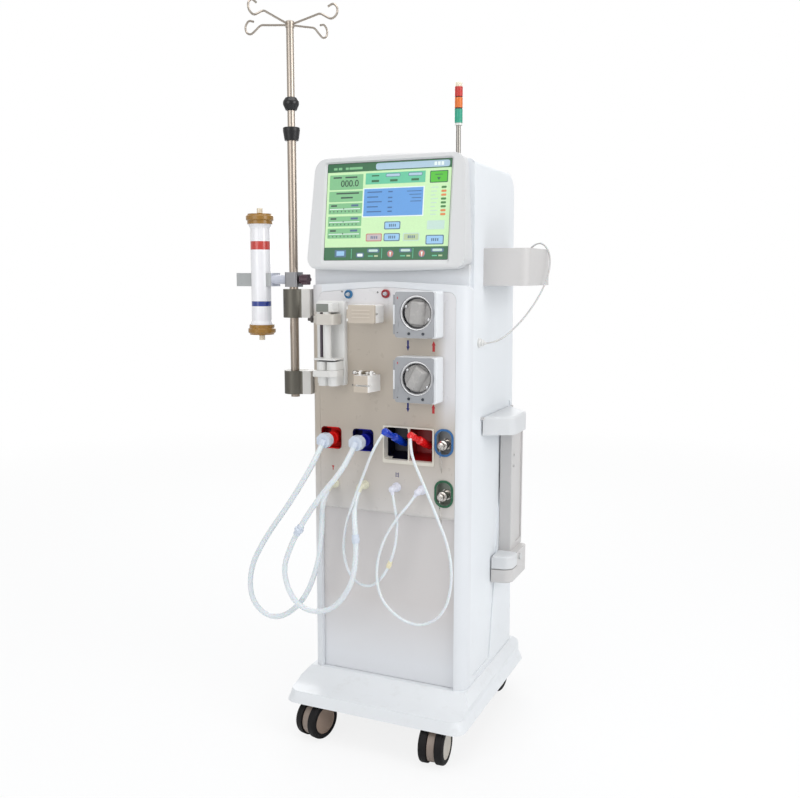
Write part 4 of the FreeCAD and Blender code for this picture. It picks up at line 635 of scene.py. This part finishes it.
def paintOvals():
    finish = plastic("ovalColors", ovals["rims"][1], 0.3)
    x, y, z = finish.places()
    plated = anyOf([reach(x, z, middle, ovals["flatten"]) < ovals["couplingRadius"]
                    for middle in ovals["couplings"]])
    upper = z > ovals["split"]
    rims, cups = finish.mix(upper, *ovals["rims"]), finish.mix(upper, *ovals["cups"])
    plating = finish.mix(finish.noise(60.0, 2.0), *ovals["plating"])
    color = finish.mix(y > ovals["cupFront"], rims, cups)
    finish.paint(finish.mix(plated, color, plating))
    finish.feed("Metallic", plated)
    finish.feed("Roughness", 0.32 - plated * 0.16)
    dress(finish, "disinfectant_ports")


# Nipples and connectors: cream on the left and low down, cool white elsewhere
nipples = {"tones": (srgb(228, 226, 204), srgb(224, 226, 238)), "split": -10.0}
connectors = {"color": srgb(210, 219, 232), "low": srgb(232, 224, 190), "lowTop": 480.0,
              "cuff": srgb(224, 224, 222)}


def paintConnectors():
    finish = plastic("nippleCream", nipples["tones"][0], 0.3)
    right = finish.along("x") > nipples["split"]
    finish.cover(right, nipples["tones"][1])
    dress(finish, "concentrate_nipples")
    finish = plastic("connectorPale", connectors["color"], 0.3, Coat_Weight=0.3)
    low = finish.along("z") < connectors["lowTop"]
    finish.cover(low, connectors["low"])
    dress(finish, "hose_fittings")
    dress(plastic("cuffWhite", connectors["cuff"], 0.34), "cuff_fittings")


# Pole: satin steel with drawn streaks, a black stop ring, cast brackets with white feet
pole = {"outer": srgb(178, 166, 154), "inner": srgb(184, 174, 163), "drawn": (60, 60, 0.4),
        "ring": srgb(18, 18, 20), "ringZ": (1496.0, 1527.0), "collar": srgb(20, 20, 22),
        "bracket": srgb(112, 109, 101), "cast": (1, 1, 6), "foot": srgb(212, 210, 206), "footEdge": -219.0,
        "clamp": srgb(148, 148, 150), "knob": srgb(82, 60, 70)}


def paintPole():
    dress(metal("poleSteel", pole["outer"], 0.28, pole["drawn"]), "pole_outer_tube")
    finish = metal("innerSteel", pole["inner"], 0.26, pole["drawn"])
    ring = finish.along("z").between(*pole["ringZ"])
    finish.cover(ring, pole["ring"])
    finish.feed("Metallic", 1 - ring)
    dress(finish, "pole_inner_tube")
    dress(plastic("collarBlack", pole["collar"], 0.34, grain=2.0), "pole_collar")
    finish = metal("bracketGrey", pole["bracket"], 0.42, pole["cast"])
    foot = finish.along("x") > pole["footEdge"]
    finish.cover(foot, pole["foot"])
    finish.feed("Metallic", 1 - foot)
    dress(finish, "pole_brackets")
    dress(metal("clampGrey", pole["clamp"], 0.4, pole["cast"]), "dialyser_clamp")
    dress(plastic("knobBrown", pole["knob"], 0.36, grain=2.0, drift=0.15), "clamp_knob")


# Dialyser: pale fibre bundle behind clear plastic, two plain label bands, amber caps, grey jaw
dialyser = {"body": srgb(233, 233, 236), "fibres": (srgb(232, 232, 237), srgb(248, 248, 250)),
            "bands": ((1176.0, 1196.0, srgb(196, 58, 50)), (1040.0, 1052.0, srgb(40, 60, 140))),
            "cap": srgb(154, 112, 40), "port": srgb(236, 226, 204), "capEnds": (968.5, 1263.5),
            "jaw": srgb(172, 175, 175), "innerJaw": srgb(198, 202, 214), "jawEdge": -303.0}


def paintDialyser():
    finish = plastic("dialyserPale", dialyser["body"], 0.18, Coat_Weight=0.6, Coat_Roughness=0.05)
    z = finish.along("z")
    finish.paint(finish.mix(finish.noise(420.0, 2.0, 0.5, (1, 1, 0.02)), *dialyser["fibres"]))
    for low, high, tone in dialyser["bands"]:
        finish.cover(z.between(low, high), tone)
    dress(finish, "dialyser_body")
    finish = plastic("capAmber", dialyser["cap"], 0.26, Coat_Weight=0.3, Coat_Roughness=0.08)
    z = finish.along("z")
    low, high = dialyser["capEnds"]
    finish.cover((z > high).larger(z < low), dialyser["port"])
    dress(finish, "dialyser_caps")
    finish = plastic("jawPale", dialyser["jaw"], 0.3, Coat_Weight=0.3)
    inner = finish.along("x") > dialyser["jawEdge"]
    finish.cover(inner, dialyser["innerJaw"])
    dress(finish, "dialyser_holder")


# Signal lamp: grey tube, then rings and ribbed lenses, each tone from its level up
lamp = {"tube": srgb(150, 146, 140), "bands": (
    (1445.0, srgb(226, 226, 222)), (1450.0, srgb(22, 158, 128)), (1480.0, srgb(24, 22, 22)),
    (1483.0, srgb(226, 112, 22)), (1505.0, srgb(50, 26, 22)), (1507.0, srgb(196, 28, 14)),
    (1528.0, srgb(236, 228, 206))), "ribFoot": 1450.0, "ribPitch": 2.4}


def paintLamp():
    finish = Finish("lampPlastic", lamp["tube"], 0.22, Coat_Weight=0.4)
    z = finish.along("z")
    for level, tone in lamp["bands"]:
        finish.cover(z > level, tone)
    finish.bump((z * lamp["ribPitch"]).wave() * (z > lamp["ribFoot"]), 0.0004, 0.6)
    finish.feed("Metallic", (z < lamp["bands"][0][0]) * 0.8)
    dress(finish, "signal_tower")


# Casters: black treads, hub discs, brown-grey forks; the left casters' hubs darker as painted shade; a
# caster's place is its pivot and its turn
casters = {"pivots": {"front_left": (-153, -46, -14), "front_right": (153, -46, 4),
                      "rear_left": (-153, 335, 190), "rear_right": (153, 335, 174)},
           "trail": 18.0, "axle": 45.0, "hubRadius": 31.5, "hubSide": 24.0, "tread": srgb(10, 8, 10),
           "hubs": (srgb(206, 200, 190), srgb(158, 138, 124)), "fork": srgb(140, 126, 116)}


def paintCasters():
    fork = plastic("forkGrey", casters["fork"], 0.4, drift=0.1)
    for name, (pivotX, pivotY, turn) in casters["pivots"].items():
        sine, cosine = math.sin(math.radians(turn)), math.cos(math.radians(turn))
        finish = plastic("wheel_" + name, casters["tread"], 0.5, grain=3.0, drift=0.2,
                         Specular_IOR_Level=0.25)
        x, y, z = finish.places()
        x, y = x - (pivotX + casters["trail"] * sine), y - (pivotY - casters["trail"] * cosine)
        across, ahead = x * cosine + y * sine, y * cosine - x * sine
        hub = reach(ahead, z, (0.0, casters["axle"])) < casters["hubRadius"]
        hub = hub * (abs(across) > casters["hubSide"])
        # The left casters' hubs take the darker tone: painted shade
        finish.cover(hub, casters["hubs"]["left" in name])
        finish.feed("Roughness", 0.55 - hub * 0.2)
        dress(finish, "caster_wheels_" + name)
        dress(fork, "caster_swivel_" + name)


for paint in (paintShell, paintSideFittings, paintPanel, paintFascia, paintDoor, paintRear, paintPumpHeads,
              paintPumpDoors, paintRotors, paintSyringePump, paintDetector, paintVenousClamp, paintPorts,
              paintSeats, paintDock, paintOvals, paintConnectors, paintPole, paintDialyser, paintLamp,
              paintCasters):
    paint()
print("frame parts finished")


# Helpers for the new pieces
def keepPiece(name, mesh, finish, body):
    data = bpy.data.meshes.new(name)
    mesh.to_mesh(data)
    mesh.free()
    data.materials.append(finish.material)
    piece = bpy.data.objects.new(name, data)
    bpy.context.collection.objects.link(piece)
    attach(piece, body)


def joinInto(mesh, part):
    joined = bpy.data.meshes.new("part")
    part.to_mesh(joined)
    part.free()
    mesh.from_mesh(joined)
    bpy.data.meshes.remove(joined)


# Turns a part's circle or grid from the floor's plane to face the front
upright = Matrix.Rotation(math.radians(90), 3, "X")


# Flat plate in the x-z plane with its face towards -y and a tint on its corners; sizes in mm
def addPlate(mesh, width, height, middle, front, thick, tint, corner=0.0, place=None):
    part = bmesh.new()
    bmesh.ops.create_grid(part, x_segments=1, y_segments=1, size=0.5)
    bmesh.ops.scale(part, vec=(width, height, 1), verts=part.verts)
    if corner:
        bmesh.ops.bevel(part, geom=part.verts[:], offset=corner, offset_type="OFFSET", segments=3,
                        profile=0.5, affect="VERTICES", material=-1)
    finishPlate(mesh, part, middle, front, thick, tint, place)


def addTriangle(mesh, width, height, middle, front, thick, tint, up=True, place=None):
    part = bmesh.new()
    bmesh.ops.create_circle(part, cap_ends=True, segments=3, radius=1.0)
    unitWidth, unitHeight = math.sqrt(3), 1.5
    bmesh.ops.scale(part, vec=(width / unitWidth, height / unitHeight * (1 if up else -1), 1),
                    verts=part.verts)
    finishPlate(mesh, part, middle, front, thick, tint, place)


def addDisc(mesh, radius, middle, front, thick, tint, place=None, segments=24):
    part = bmesh.new()
    bmesh.ops.create_circle(part, cap_ends=True, segments=segments, radius=radius)
    finishPlate(mesh, part, middle, front, thick, tint, place)


def finishPlate(mesh, part, middle, front, thick, tint, place):
    bmesh.ops.rotate(part, cent=(0, 0, 0), matrix=upright, verts=part.verts)
    grown = bmesh.ops.extrude_face_region(part, geom=part.faces[:])
    moved = [item for item in grown["geom"] if isinstance(item, bmesh.types.BMVert)]
    bmesh.ops.translate(part, vec=(0, thick, 0), verts=moved)
    bmesh.ops.translate(part, vec=(middle[0], front, middle[1]), verts=part.verts)
    bmesh.ops.recalc_face_normals(part, faces=part.faces)
    layer = part.loops.layers.float_color.new("tint")
    for face in part.faces:
        for loop in face.loops:
            loop[layer] = tint
    part.transform(place or onPanel)
    joinInto(mesh, part)


# From layout millimetres to metres, and the same for a plane that leans with the screen
onPanel = Matrix.Translation(at(0, 0, 0)) @ Matrix.Scale(0.001, 4)
screen = {"width": 308.0, "height": 222.0, "bottom": 1150.0, "front": -12.053, "lean": 7.0, "glass": 5.0,
          "firstLift": 0.15, "liftStep": 0.1, "skin": 0.12}
onScreen = (Matrix.Translation(at(0, screen["front"], screen["bottom"]))
            @ Matrix.Rotation(math.radians(-screen["lean"]), 4, "X") @ Matrix.Scale(0.001, 4))


def tintFinish(name, roughness, glow, **rest):
    finish = Finish(name, (0.5, 0.5, 0.5, 1.0), roughness, **rest)
    tint = finish.node("ShaderNodeAttribute", {"attribute_name": "tint"}, {}, "Color")
    speck = finish.noise(300.0, 2.0)
    shade = finish.mix(speck * 0.12, tint, (0.02, 0.02, 0.02, 1.0))
    finish.paint(shade)
    finish.feed("Roughness", finish.noise(90.0) * 0.1 + (roughness - 0.05))
    if glow:
        finish.feed("Emission Color", shade)
        finish.constant("Emission Strength", glow)
    return finish


# Picture on the display: every shape is a thin plate, u from the left and v from the top
picture = {
    "dark": srgb(24, 96, 54), "body": srgb(196, 232, 178), "panel": srgb(120, 184, 130),
    "teal": srgb(92, 190, 150), "blue": srgb(88, 150, 214), "sky": srgb(146, 192, 228),
    "edge": srgb(70, 104, 132), "white": srgb(228, 240, 236), "ink": srgb(40, 74, 58),
    "green": srgb(70, 184, 30), "lampGreen": srgb(52, 122, 52), "orange": srgb(212, 126, 64),
    "pill": srgb(168, 196, 214), "rust": srgb(190, 120, 104), "blush": srgb(190, 176, 180),
    "olive": srgb(176, 196, 150), "faint": srgb(188, 216, 204), "deep": srgb(44, 96, 150)}


def screenPlate(mesh, left, right, top, bottom, lift, tone, corner=0.0):
    width, height = screen["width"], screen["height"]
    middle = ((left + right - 1) / 2 * width, (1 - (top + bottom) / 2) * height)
    raised = lift * screen["liftStep"]
    addPlate(mesh, (right - left) * width, (bottom - top) * height, middle,
             screen["glass"] - screen["firstLift"] - raised, screen["skin"] + raised, picture[tone], corner,
             onScreen)


def screenButton(mesh, left, right, top, bottom, tone, edge="edge"):
    screenPlate(mesh, left, right, top, bottom, 3, edge, 2.6)
    screenPlate(mesh, left + 0.007, right - 0.007, top + 0.009, bottom - 0.009, 4, tone, 2.0)
    middle, line = (left + right) / 2, (top + bottom) / 2
    for step in (-0.026, -0.012, 0.004, 0.02):
        screenPlate(mesh, middle + step, middle + step + 0.009, line - 0.014, line + 0.014, 5, "edge")


# Plates that stand alone: left, right, top, bottom, lift, tone and some with a corner radius
picturePlates = (
    (0.0, 1.0, 0.0, 1.0, 0, "body"), (0.0, 1.0, 0.0, 0.088, 1, "dark"),
    (0.40, 0.985, 0.012, 0.078, 2, "pill", 5.0), (0.32, 0.80, 0.11, 0.225, 1, "teal"),
    (0.37, 0.43, 0.132, 0.146, 2, "dark"), (0.305, 0.797, 0.262, 0.562, 1, "white"),
    (0.313, 0.789, 0.272, 0.552, 2, "blue"), (0.835, 0.975, 0.115, 0.235, 1, "dark", 2.0),
    (0.842, 0.968, 0.124, 0.226, 2, "green", 1.5), (0.875, 0.935, 0.15, 0.157, 3, "dark"),
    (0.83, 0.965, 0.61, 0.70, 2, "faint", 2.0), (0.0, 1.0, 0.868, 1.0, 1, "dark"),
    (0.09, 0.185, 0.895, 0.97, 2, "edge", 1.5), (0.105, 0.17, 0.908, 0.955, 3, "sky", 1.0),
    (0.27, 0.335, 0.925, 0.975, 2, "edge", 3.0), (0.28, 0.325, 0.935, 0.965, 3, "white", 2.0))
pictureButtons = (
    (0.49, 0.62, 0.61, 0.69, "sky"), (0.345, 0.475, 0.73, 0.81, "blush", "rust"),
    (0.49, 0.62, 0.73, 0.81, "sky"), (0.645, 0.775, 0.73, 0.81, "olive", "faint"),
    (0.825, 0.965, 0.755, 0.85, "sky"))
pictureFields = ((0.115, 0.27), (0.285, 0.395), (0.41, 0.52), (0.545, 0.65), (0.67, 0.775))
pictureLamps = ("lampGreen", "orange", "orange", "lampGreen", "lampGreen", "lampGreen", "orange", "orange")


def makePicture():
    mesh = bmesh.new()

    def plate(*shape):
        screenPlate(mesh, *shape)

    for shape in picturePlates:
        plate(*shape)
    for shape in pictureButtons:
        screenButton(mesh, *shape)

    # Header: blocks in place of words
    for left, right in ((0.05, 0.08), (0.09, 0.12), (0.15, 0.175), (0.18, 0.29)):
        plate(left, right, 0.040, 0.064, 2, "panel", 1.0)
    for left in (0.865, 0.892, 0.919):
        plate(left, left + 0.02, 0.026, 0.062, 3, "white")

    # Fields on the left, three of them with a scale
    for top, bottom in pictureFields:
        plate(0.02, 0.30, top, bottom, 1, "panel", 1.5)
    for top, bottom in pictureFields[2:]:
        plate(0.03, 0.285, top + 0.056, top + 0.064, 2, "white")
        plate(0.145, 0.152, top + 0.048, top + 0.062, 3, "ink")
        for step in range(8):
            plate(0.03 + step * 0.032, 0.037 + step * 0.032, top + 0.076, top + 0.092, 2, "ink")
        plate(0.21, 0.27, top + 0.014, top + 0.036, 2, "edge")
        plate(0.04, 0.09, top + 0.016, top + 0.034, 2, "ink")
    for left, right, top in ((0.05, 0.12, 0.135), (0.15, 0.25, 0.135), (0.08, 0.27, 0.30),
                             (0.12, 0.22, 0.345)):
        plate(left, right, top, top + 0.016, 2, "ink")

    # Teal bar and the blue list under it
    for left, right in ((0.485, 0.60), (0.665, 0.775)):
        plate(left, right, 0.122, 0.156, 2, "edge", 2.0)
        plate(left + 0.004, right - 0.004, 0.127, 0.151, 3, "pill", 1.6)
    for left in (0.37, 0.52, 0.69):
        plate(left, left + 0.06, 0.182, 0.205, 2, "dark")
    for row in range(5):
        top, odd = 0.30 + row * 0.05, row % 2
        plate(0.34, 0.46 - odd * 0.03, top, top + 0.012, 3, "deep")
        plate(0.51, 0.545, top + odd * 0.01, top + 0.014 + odd * 0.01, 3, "deep")
    for row, left in enumerate((0.66, 0.68, 0.70, 0.69)):
        plate(left, 0.775, 0.305 + row * 0.034, 0.313 + row * 0.034, 3, "deep")

    # Status lamps on the right, under the green key with its arrow
    addTriangle(mesh, 9, 7, ((0.905 - 0.5) * screen["width"], 0.808 * screen["height"]),
                screen["glass"] - 0.5, 0.4, picture["dark"], False, onScreen)
    for row, tone in enumerate(pictureLamps):
        top = 0.270 + row * 0.0385
        plate(0.928, 0.968, top, top + 0.022, 2, tone, 2.0)
        plate(0.850, 0.905 - (row % 3) * 0.01, top + 0.006, top + 0.014, 2, "faint")

    # Foot bar with its readings and two round keys
    for left in (0.25, 0.50, 0.75):
        plate(left - 0.022, left - 0.018, 0.885, 0.985, 2, "teal")
    for left in (0.36, 0.62, 0.87):
        plate(left, left + 0.10, 0.885, 0.925, 2, "edge", 3.5)
        plate(left + 0.012, left + 0.088, 0.893, 0.917, 3, "faint", 2.5)
        plate(left + 0.01, left + 0.05, 0.955, 0.966, 2, "teal")
        plate(left + 0.06, left + 0.09, 0.952, 0.968, 2, "olive")
    for middle in (0.55, 0.80):
        centre = ((middle - 0.5) * screen["width"], 0.062 * screen["height"])
        for radius, lift, tone in ((8.5, 0.4, "edge"), (7.0, 0.5, "rust")):
            addDisc(mesh, radius, centre, screen["glass"] - lift, 0.3, picture[tone], onScreen)
        addTriangle(mesh, 5, 12, centre, screen["glass"] - 0.6, 0.3, picture["white"], False, onScreen)
    keepPiece("screen_picture", mesh, pictureGlow, "machine")


# Number shown in the first field, its right end at a share of the screen's width and height
digits = {"text": "000.0", "size": 21.0, "depth": 0.1, "right": -0.235, "foot": 0.762, "lift": 0.5}


def makeDigits():
    words = bpy.data.curves.new("digits", "FONT")
    words.body = digits["text"]
    words.size = digits["size"]
    words.extrude = digits["depth"]
    words.align_x = "RIGHT"
    holder = bpy.data.objects.new("digitsText", words)
    data = bpy.data.meshes.new_from_object(holder)
    bpy.data.objects.remove(holder)
    mesh = bmesh.new()
    mesh.from_mesh(data)
    bpy.data.meshes.remove(data)
    corner = (digits["right"] * screen["width"], screen["glass"] - digits["lift"],
              digits["foot"] * screen["height"])
    mesh.transform(onScreen @ Matrix.Translation(corner) @ upright.to_4x4())
    keepPiece("screen_digits", mesh, digitInk, "machine")


displayTones = {"ink": srgb(34, 58, 46), "glass": srgb(52, 66, 60)}
pictureGlow = tintFinish("pictureGlow", 0.34, 0.14, Coat_Weight=0.2, Coat_Roughness=0.08)
digitInk = plastic("digitInk", displayTones["ink"], 0.4)
dress(plastic("glassDark", displayTones["glass"], 0.2, Coat_Weight=0.5, Coat_Roughness=0.05), "touch_screen")
makePicture()
makeDigits()
print("display drawn")

# Printed marks beside the ports and pumps: plain arrows, dots, a cross and a small box, without words
marks = {"navy": srgb(22, 26, 110), "red": srgb(190, 40, 44), "grey": srgb(96, 94, 98),
         "front": -0.25, "thick": 0.3, "arrowX": (57.0, 120.0),
         "arrowEnds": ((968.0, 944.0), (824.0, 803.0)), "shaft": 0.6, "shaftWidths": (4.5, 6.0),
         "head": 0.42, "headWidths": (8.5, 9.5), "headMiddle": 0.27, "dotRadius": 1.7,
         "dots": ((-55, 659), (90, 650), (-101, 1026), (-85, 859)),
         "crosses": ((-111, 1077), (-19, 1076)), "crossArms": ((1.6, 5.0), (5.0, 1.4)),
         "boxLines": (656.5, 653.0, 649.5), "boxX": (26.6, 30.0, 33.4), "boxLine": (7.5, 1.0),
         "boxSide": (1.0, 12.0), "pointerX": -139.0, "pointer": (7.0, 6.5, 659.0), "stem": (2.2, 6.0, 653.5)}
markInk = tintFinish("markInk", 0.45, 0.0)


def makeMarks():
    mesh = bmesh.new()
    depth = (marks["front"], marks["thick"])
    downX, upX = marks["arrowX"]
    downShaft, upShaft = marks["shaftWidths"]
    downHead, upHead = marks["headWidths"]
    for top, bottom in marks["arrowEnds"]:
        length = top - bottom
        shaft, head, middle = length * marks["shaft"], length * marks["head"], length * marks["headMiddle"]
        addPlate(mesh, downShaft, shaft, (downX, top - shaft / 2), *depth, marks["navy"])
        addTriangle(mesh, downHead, head, (downX, bottom + middle), *depth, marks["navy"], False)
        addPlate(mesh, upShaft, shaft, (upX, bottom + shaft / 2), *depth, marks["red"])
        addTriangle(mesh, upHead, head, (upX, top - middle), *depth, marks["red"])
    for place in marks["dots"]:
        addDisc(mesh, marks["dotRadius"], place, *depth, marks["grey"], segments=16)
    for place in marks["crosses"]:
        for arm in marks["crossArms"]:
            addPlate(mesh, *arm, place, *depth, marks["grey"])
    left, middle, right = marks["boxX"]
    for line in marks["boxLines"]:
        addPlate(mesh, *marks["boxLine"], (middle, line), *depth, marks["navy"])
    for side in (left, right):
        addPlate(mesh, *marks["boxSide"], (side, marks["boxLines"][1]), *depth, marks["navy"])
    width, height, level = marks["pointer"]
    addTriangle(mesh, width, height, (marks["pointerX"], level), *depth, marks["red"], False)
    width, height, level = marks["stem"]
    addPlate(mesh, width, height, (marks["pointerX"], level), *depth, marks["red"])
    keepPiece("panel_marks", mesh, markInk, "machine")


makeMarks()

# Small marks on the pump doors, which swing with them
doorMarks = {"x": 50.5, "front": -44.55, "thick": 0.3,
             "heights": {"upper": (1065.0, 988.0), "lower": (920.0, 842.0)}}
for level, (high, low) in doorMarks["heights"].items():
    mesh = bmesh.new()
    depth = (doorMarks["front"], doorMarks["thick"])
    addPlate(mesh, 2.0, 5.0, (doorMarks["x"], high), *depth, marks["red"])
    addDisc(mesh, 1.6, (doorMarks["x"], low), *depth, marks["grey"], segments=16)
    keepPiece("pump_marks_" + level, mesh, markInk, level + "_pump_door")
print("marks placed")

# Looped wire chains that hold the port caps, two strands each
chain = {"color": srgb(206, 202, 196), "wire": 0.45, "link": 1.87, "stretch": 1.45, "pitch": 4.4,
         "count": 9, "spread": 3.0, "close": 1.15, "drift": (2.0, 6.0),
         "tops": ((142.0, -14.0, 707.5), (142.0, -14.0, 588.5))}
chainSteel = metal("chainSteel", chain["color"], 0.3, (1, 1, 1))


def addLink(mesh, centre, along, radius, wire, stretch):
    part = bmesh.new()
    bmesh.ops.create_circle(part, segments=6, radius=wire)
    bmesh.ops.rotate(part, cent=(0, 0, 0), matrix=upright, verts=part.verts)
    bmesh.ops.translate(part, vec=(radius, 0, 0), verts=part.verts)
    bmesh.ops.spin(part, geom=part.verts[:] + part.edges[:], cent=(0, 0, 0), axis=(0, 0, 1),
                   angle=math.tau, steps=14, use_merge=True)
    bmesh.ops.remove_doubles(part, verts=part.verts, dist=0.001)
    bmesh.ops.recalc_face_normals(part, faces=part.faces)
    bmesh.ops.scale(part, vec=(stretch, 1, 1), verts=part.verts)
    turn = Vector((1, 0, 0)).rotation_difference(Vector(along)).to_matrix().to_4x4()
    part.transform(onPanel @ Matrix.Translation(centre) @ turn)
    joinInto(mesh, part)


def makeChains():
    mesh = bmesh.new()
    driftX, driftY = chain["drift"]
    for top in chain["tops"]:
        for side in (-1, 1):
            for link in range(chain["count"]):
                share = link / (chain["count"] - 1)
                sway = side * chain["spread"] * math.sin(math.pi * min(1.0, share * chain["close"]))
                place = Vector(top) + Vector((sway + share * driftX, share * driftY, -link * chain["pitch"]))
                addLink(mesh, place, (0, 0, 1), chain["link"], chain["wire"], chain["stretch"])
    for face in mesh.faces:
        face.smooth = True
    keepPiece("port_chains", mesh, chainSteel, "machine")


makeChains()
print("chains hung")

# Polished funnel rings in the pump doors' round windows, and caps on the rotors' roller pins
funnel = {"color": srgb(214, 214, 216), "segments": 72,
          "profile": ((39.3, -44.0), (39.3, -43.2), (34.6, -40.4), (33.9, -40.4), (33.9, -41.3))}
pinCap = {"orbit": 30.5, "turns": {"upper": -28.0, "lower": -38.0}, "segments": 20,
          "profile": ((0.0, -39.4), (2.6, -39.1), (3.9, -38.2), (4.4, -36.9), (4.4, -36.0), (0.0, -36.0))}
ringChrome = metal("ringChrome", funnel["color"], 0.2, (1, 1, 1))
ringChrome.feed("Metallic", ringChrome.noise(24.0, 2.0) * 0.1 + 0.62)


def turned(profile, segments, closed):
    part = bmesh.new()
    points = [part.verts.new((radius, y, 0)) for radius, y in profile]
    for first, second in zip(points, points[1:] + (points[:1] if closed else [])):
        part.edges.new((first, second))
    bmesh.ops.spin(part, geom=part.verts[:] + part.edges[:], cent=(0, 0, 0), axis=(0, 1, 0),
                   angle=math.tau, steps=segments, use_merge=True)
    bmesh.ops.remove_doubles(part, verts=part.verts, dist=0.001)
    bmesh.ops.recalc_face_normals(part, faces=part.faces)
    for face in part.faces:
        face.smooth = True
    return part


def addTurned(mesh, part, x, z):
    bmesh.ops.translate(part, vec=(x, 0, z), verts=part.verts)
    part.transform(onPanel)
    joinInto(mesh, part)


for level, height in pumps["levels"].items():
    mesh = bmesh.new()
    addTurned(mesh, turned(funnel["profile"], funnel["segments"], True), pumps["x"], height)
    keepPiece("window_ring_" + level, mesh, ringChrome, level + "_pump_door")
    mesh = bmesh.new()
    for turn in (pinCap["turns"][level], pinCap["turns"][level] + 180.0):
        place = (pumps["x"] + pinCap["orbit"] * math.cos(math.radians(turn)),
                 height + pinCap["orbit"] * math.sin(math.radians(turn)))
        addTurned(mesh, turned(pinCap["profile"], pinCap["segments"], False), *place)
    keepPiece("roller_caps_" + level, mesh, ringChrome, level + "_rotor")
print("pump rings and caps turned")
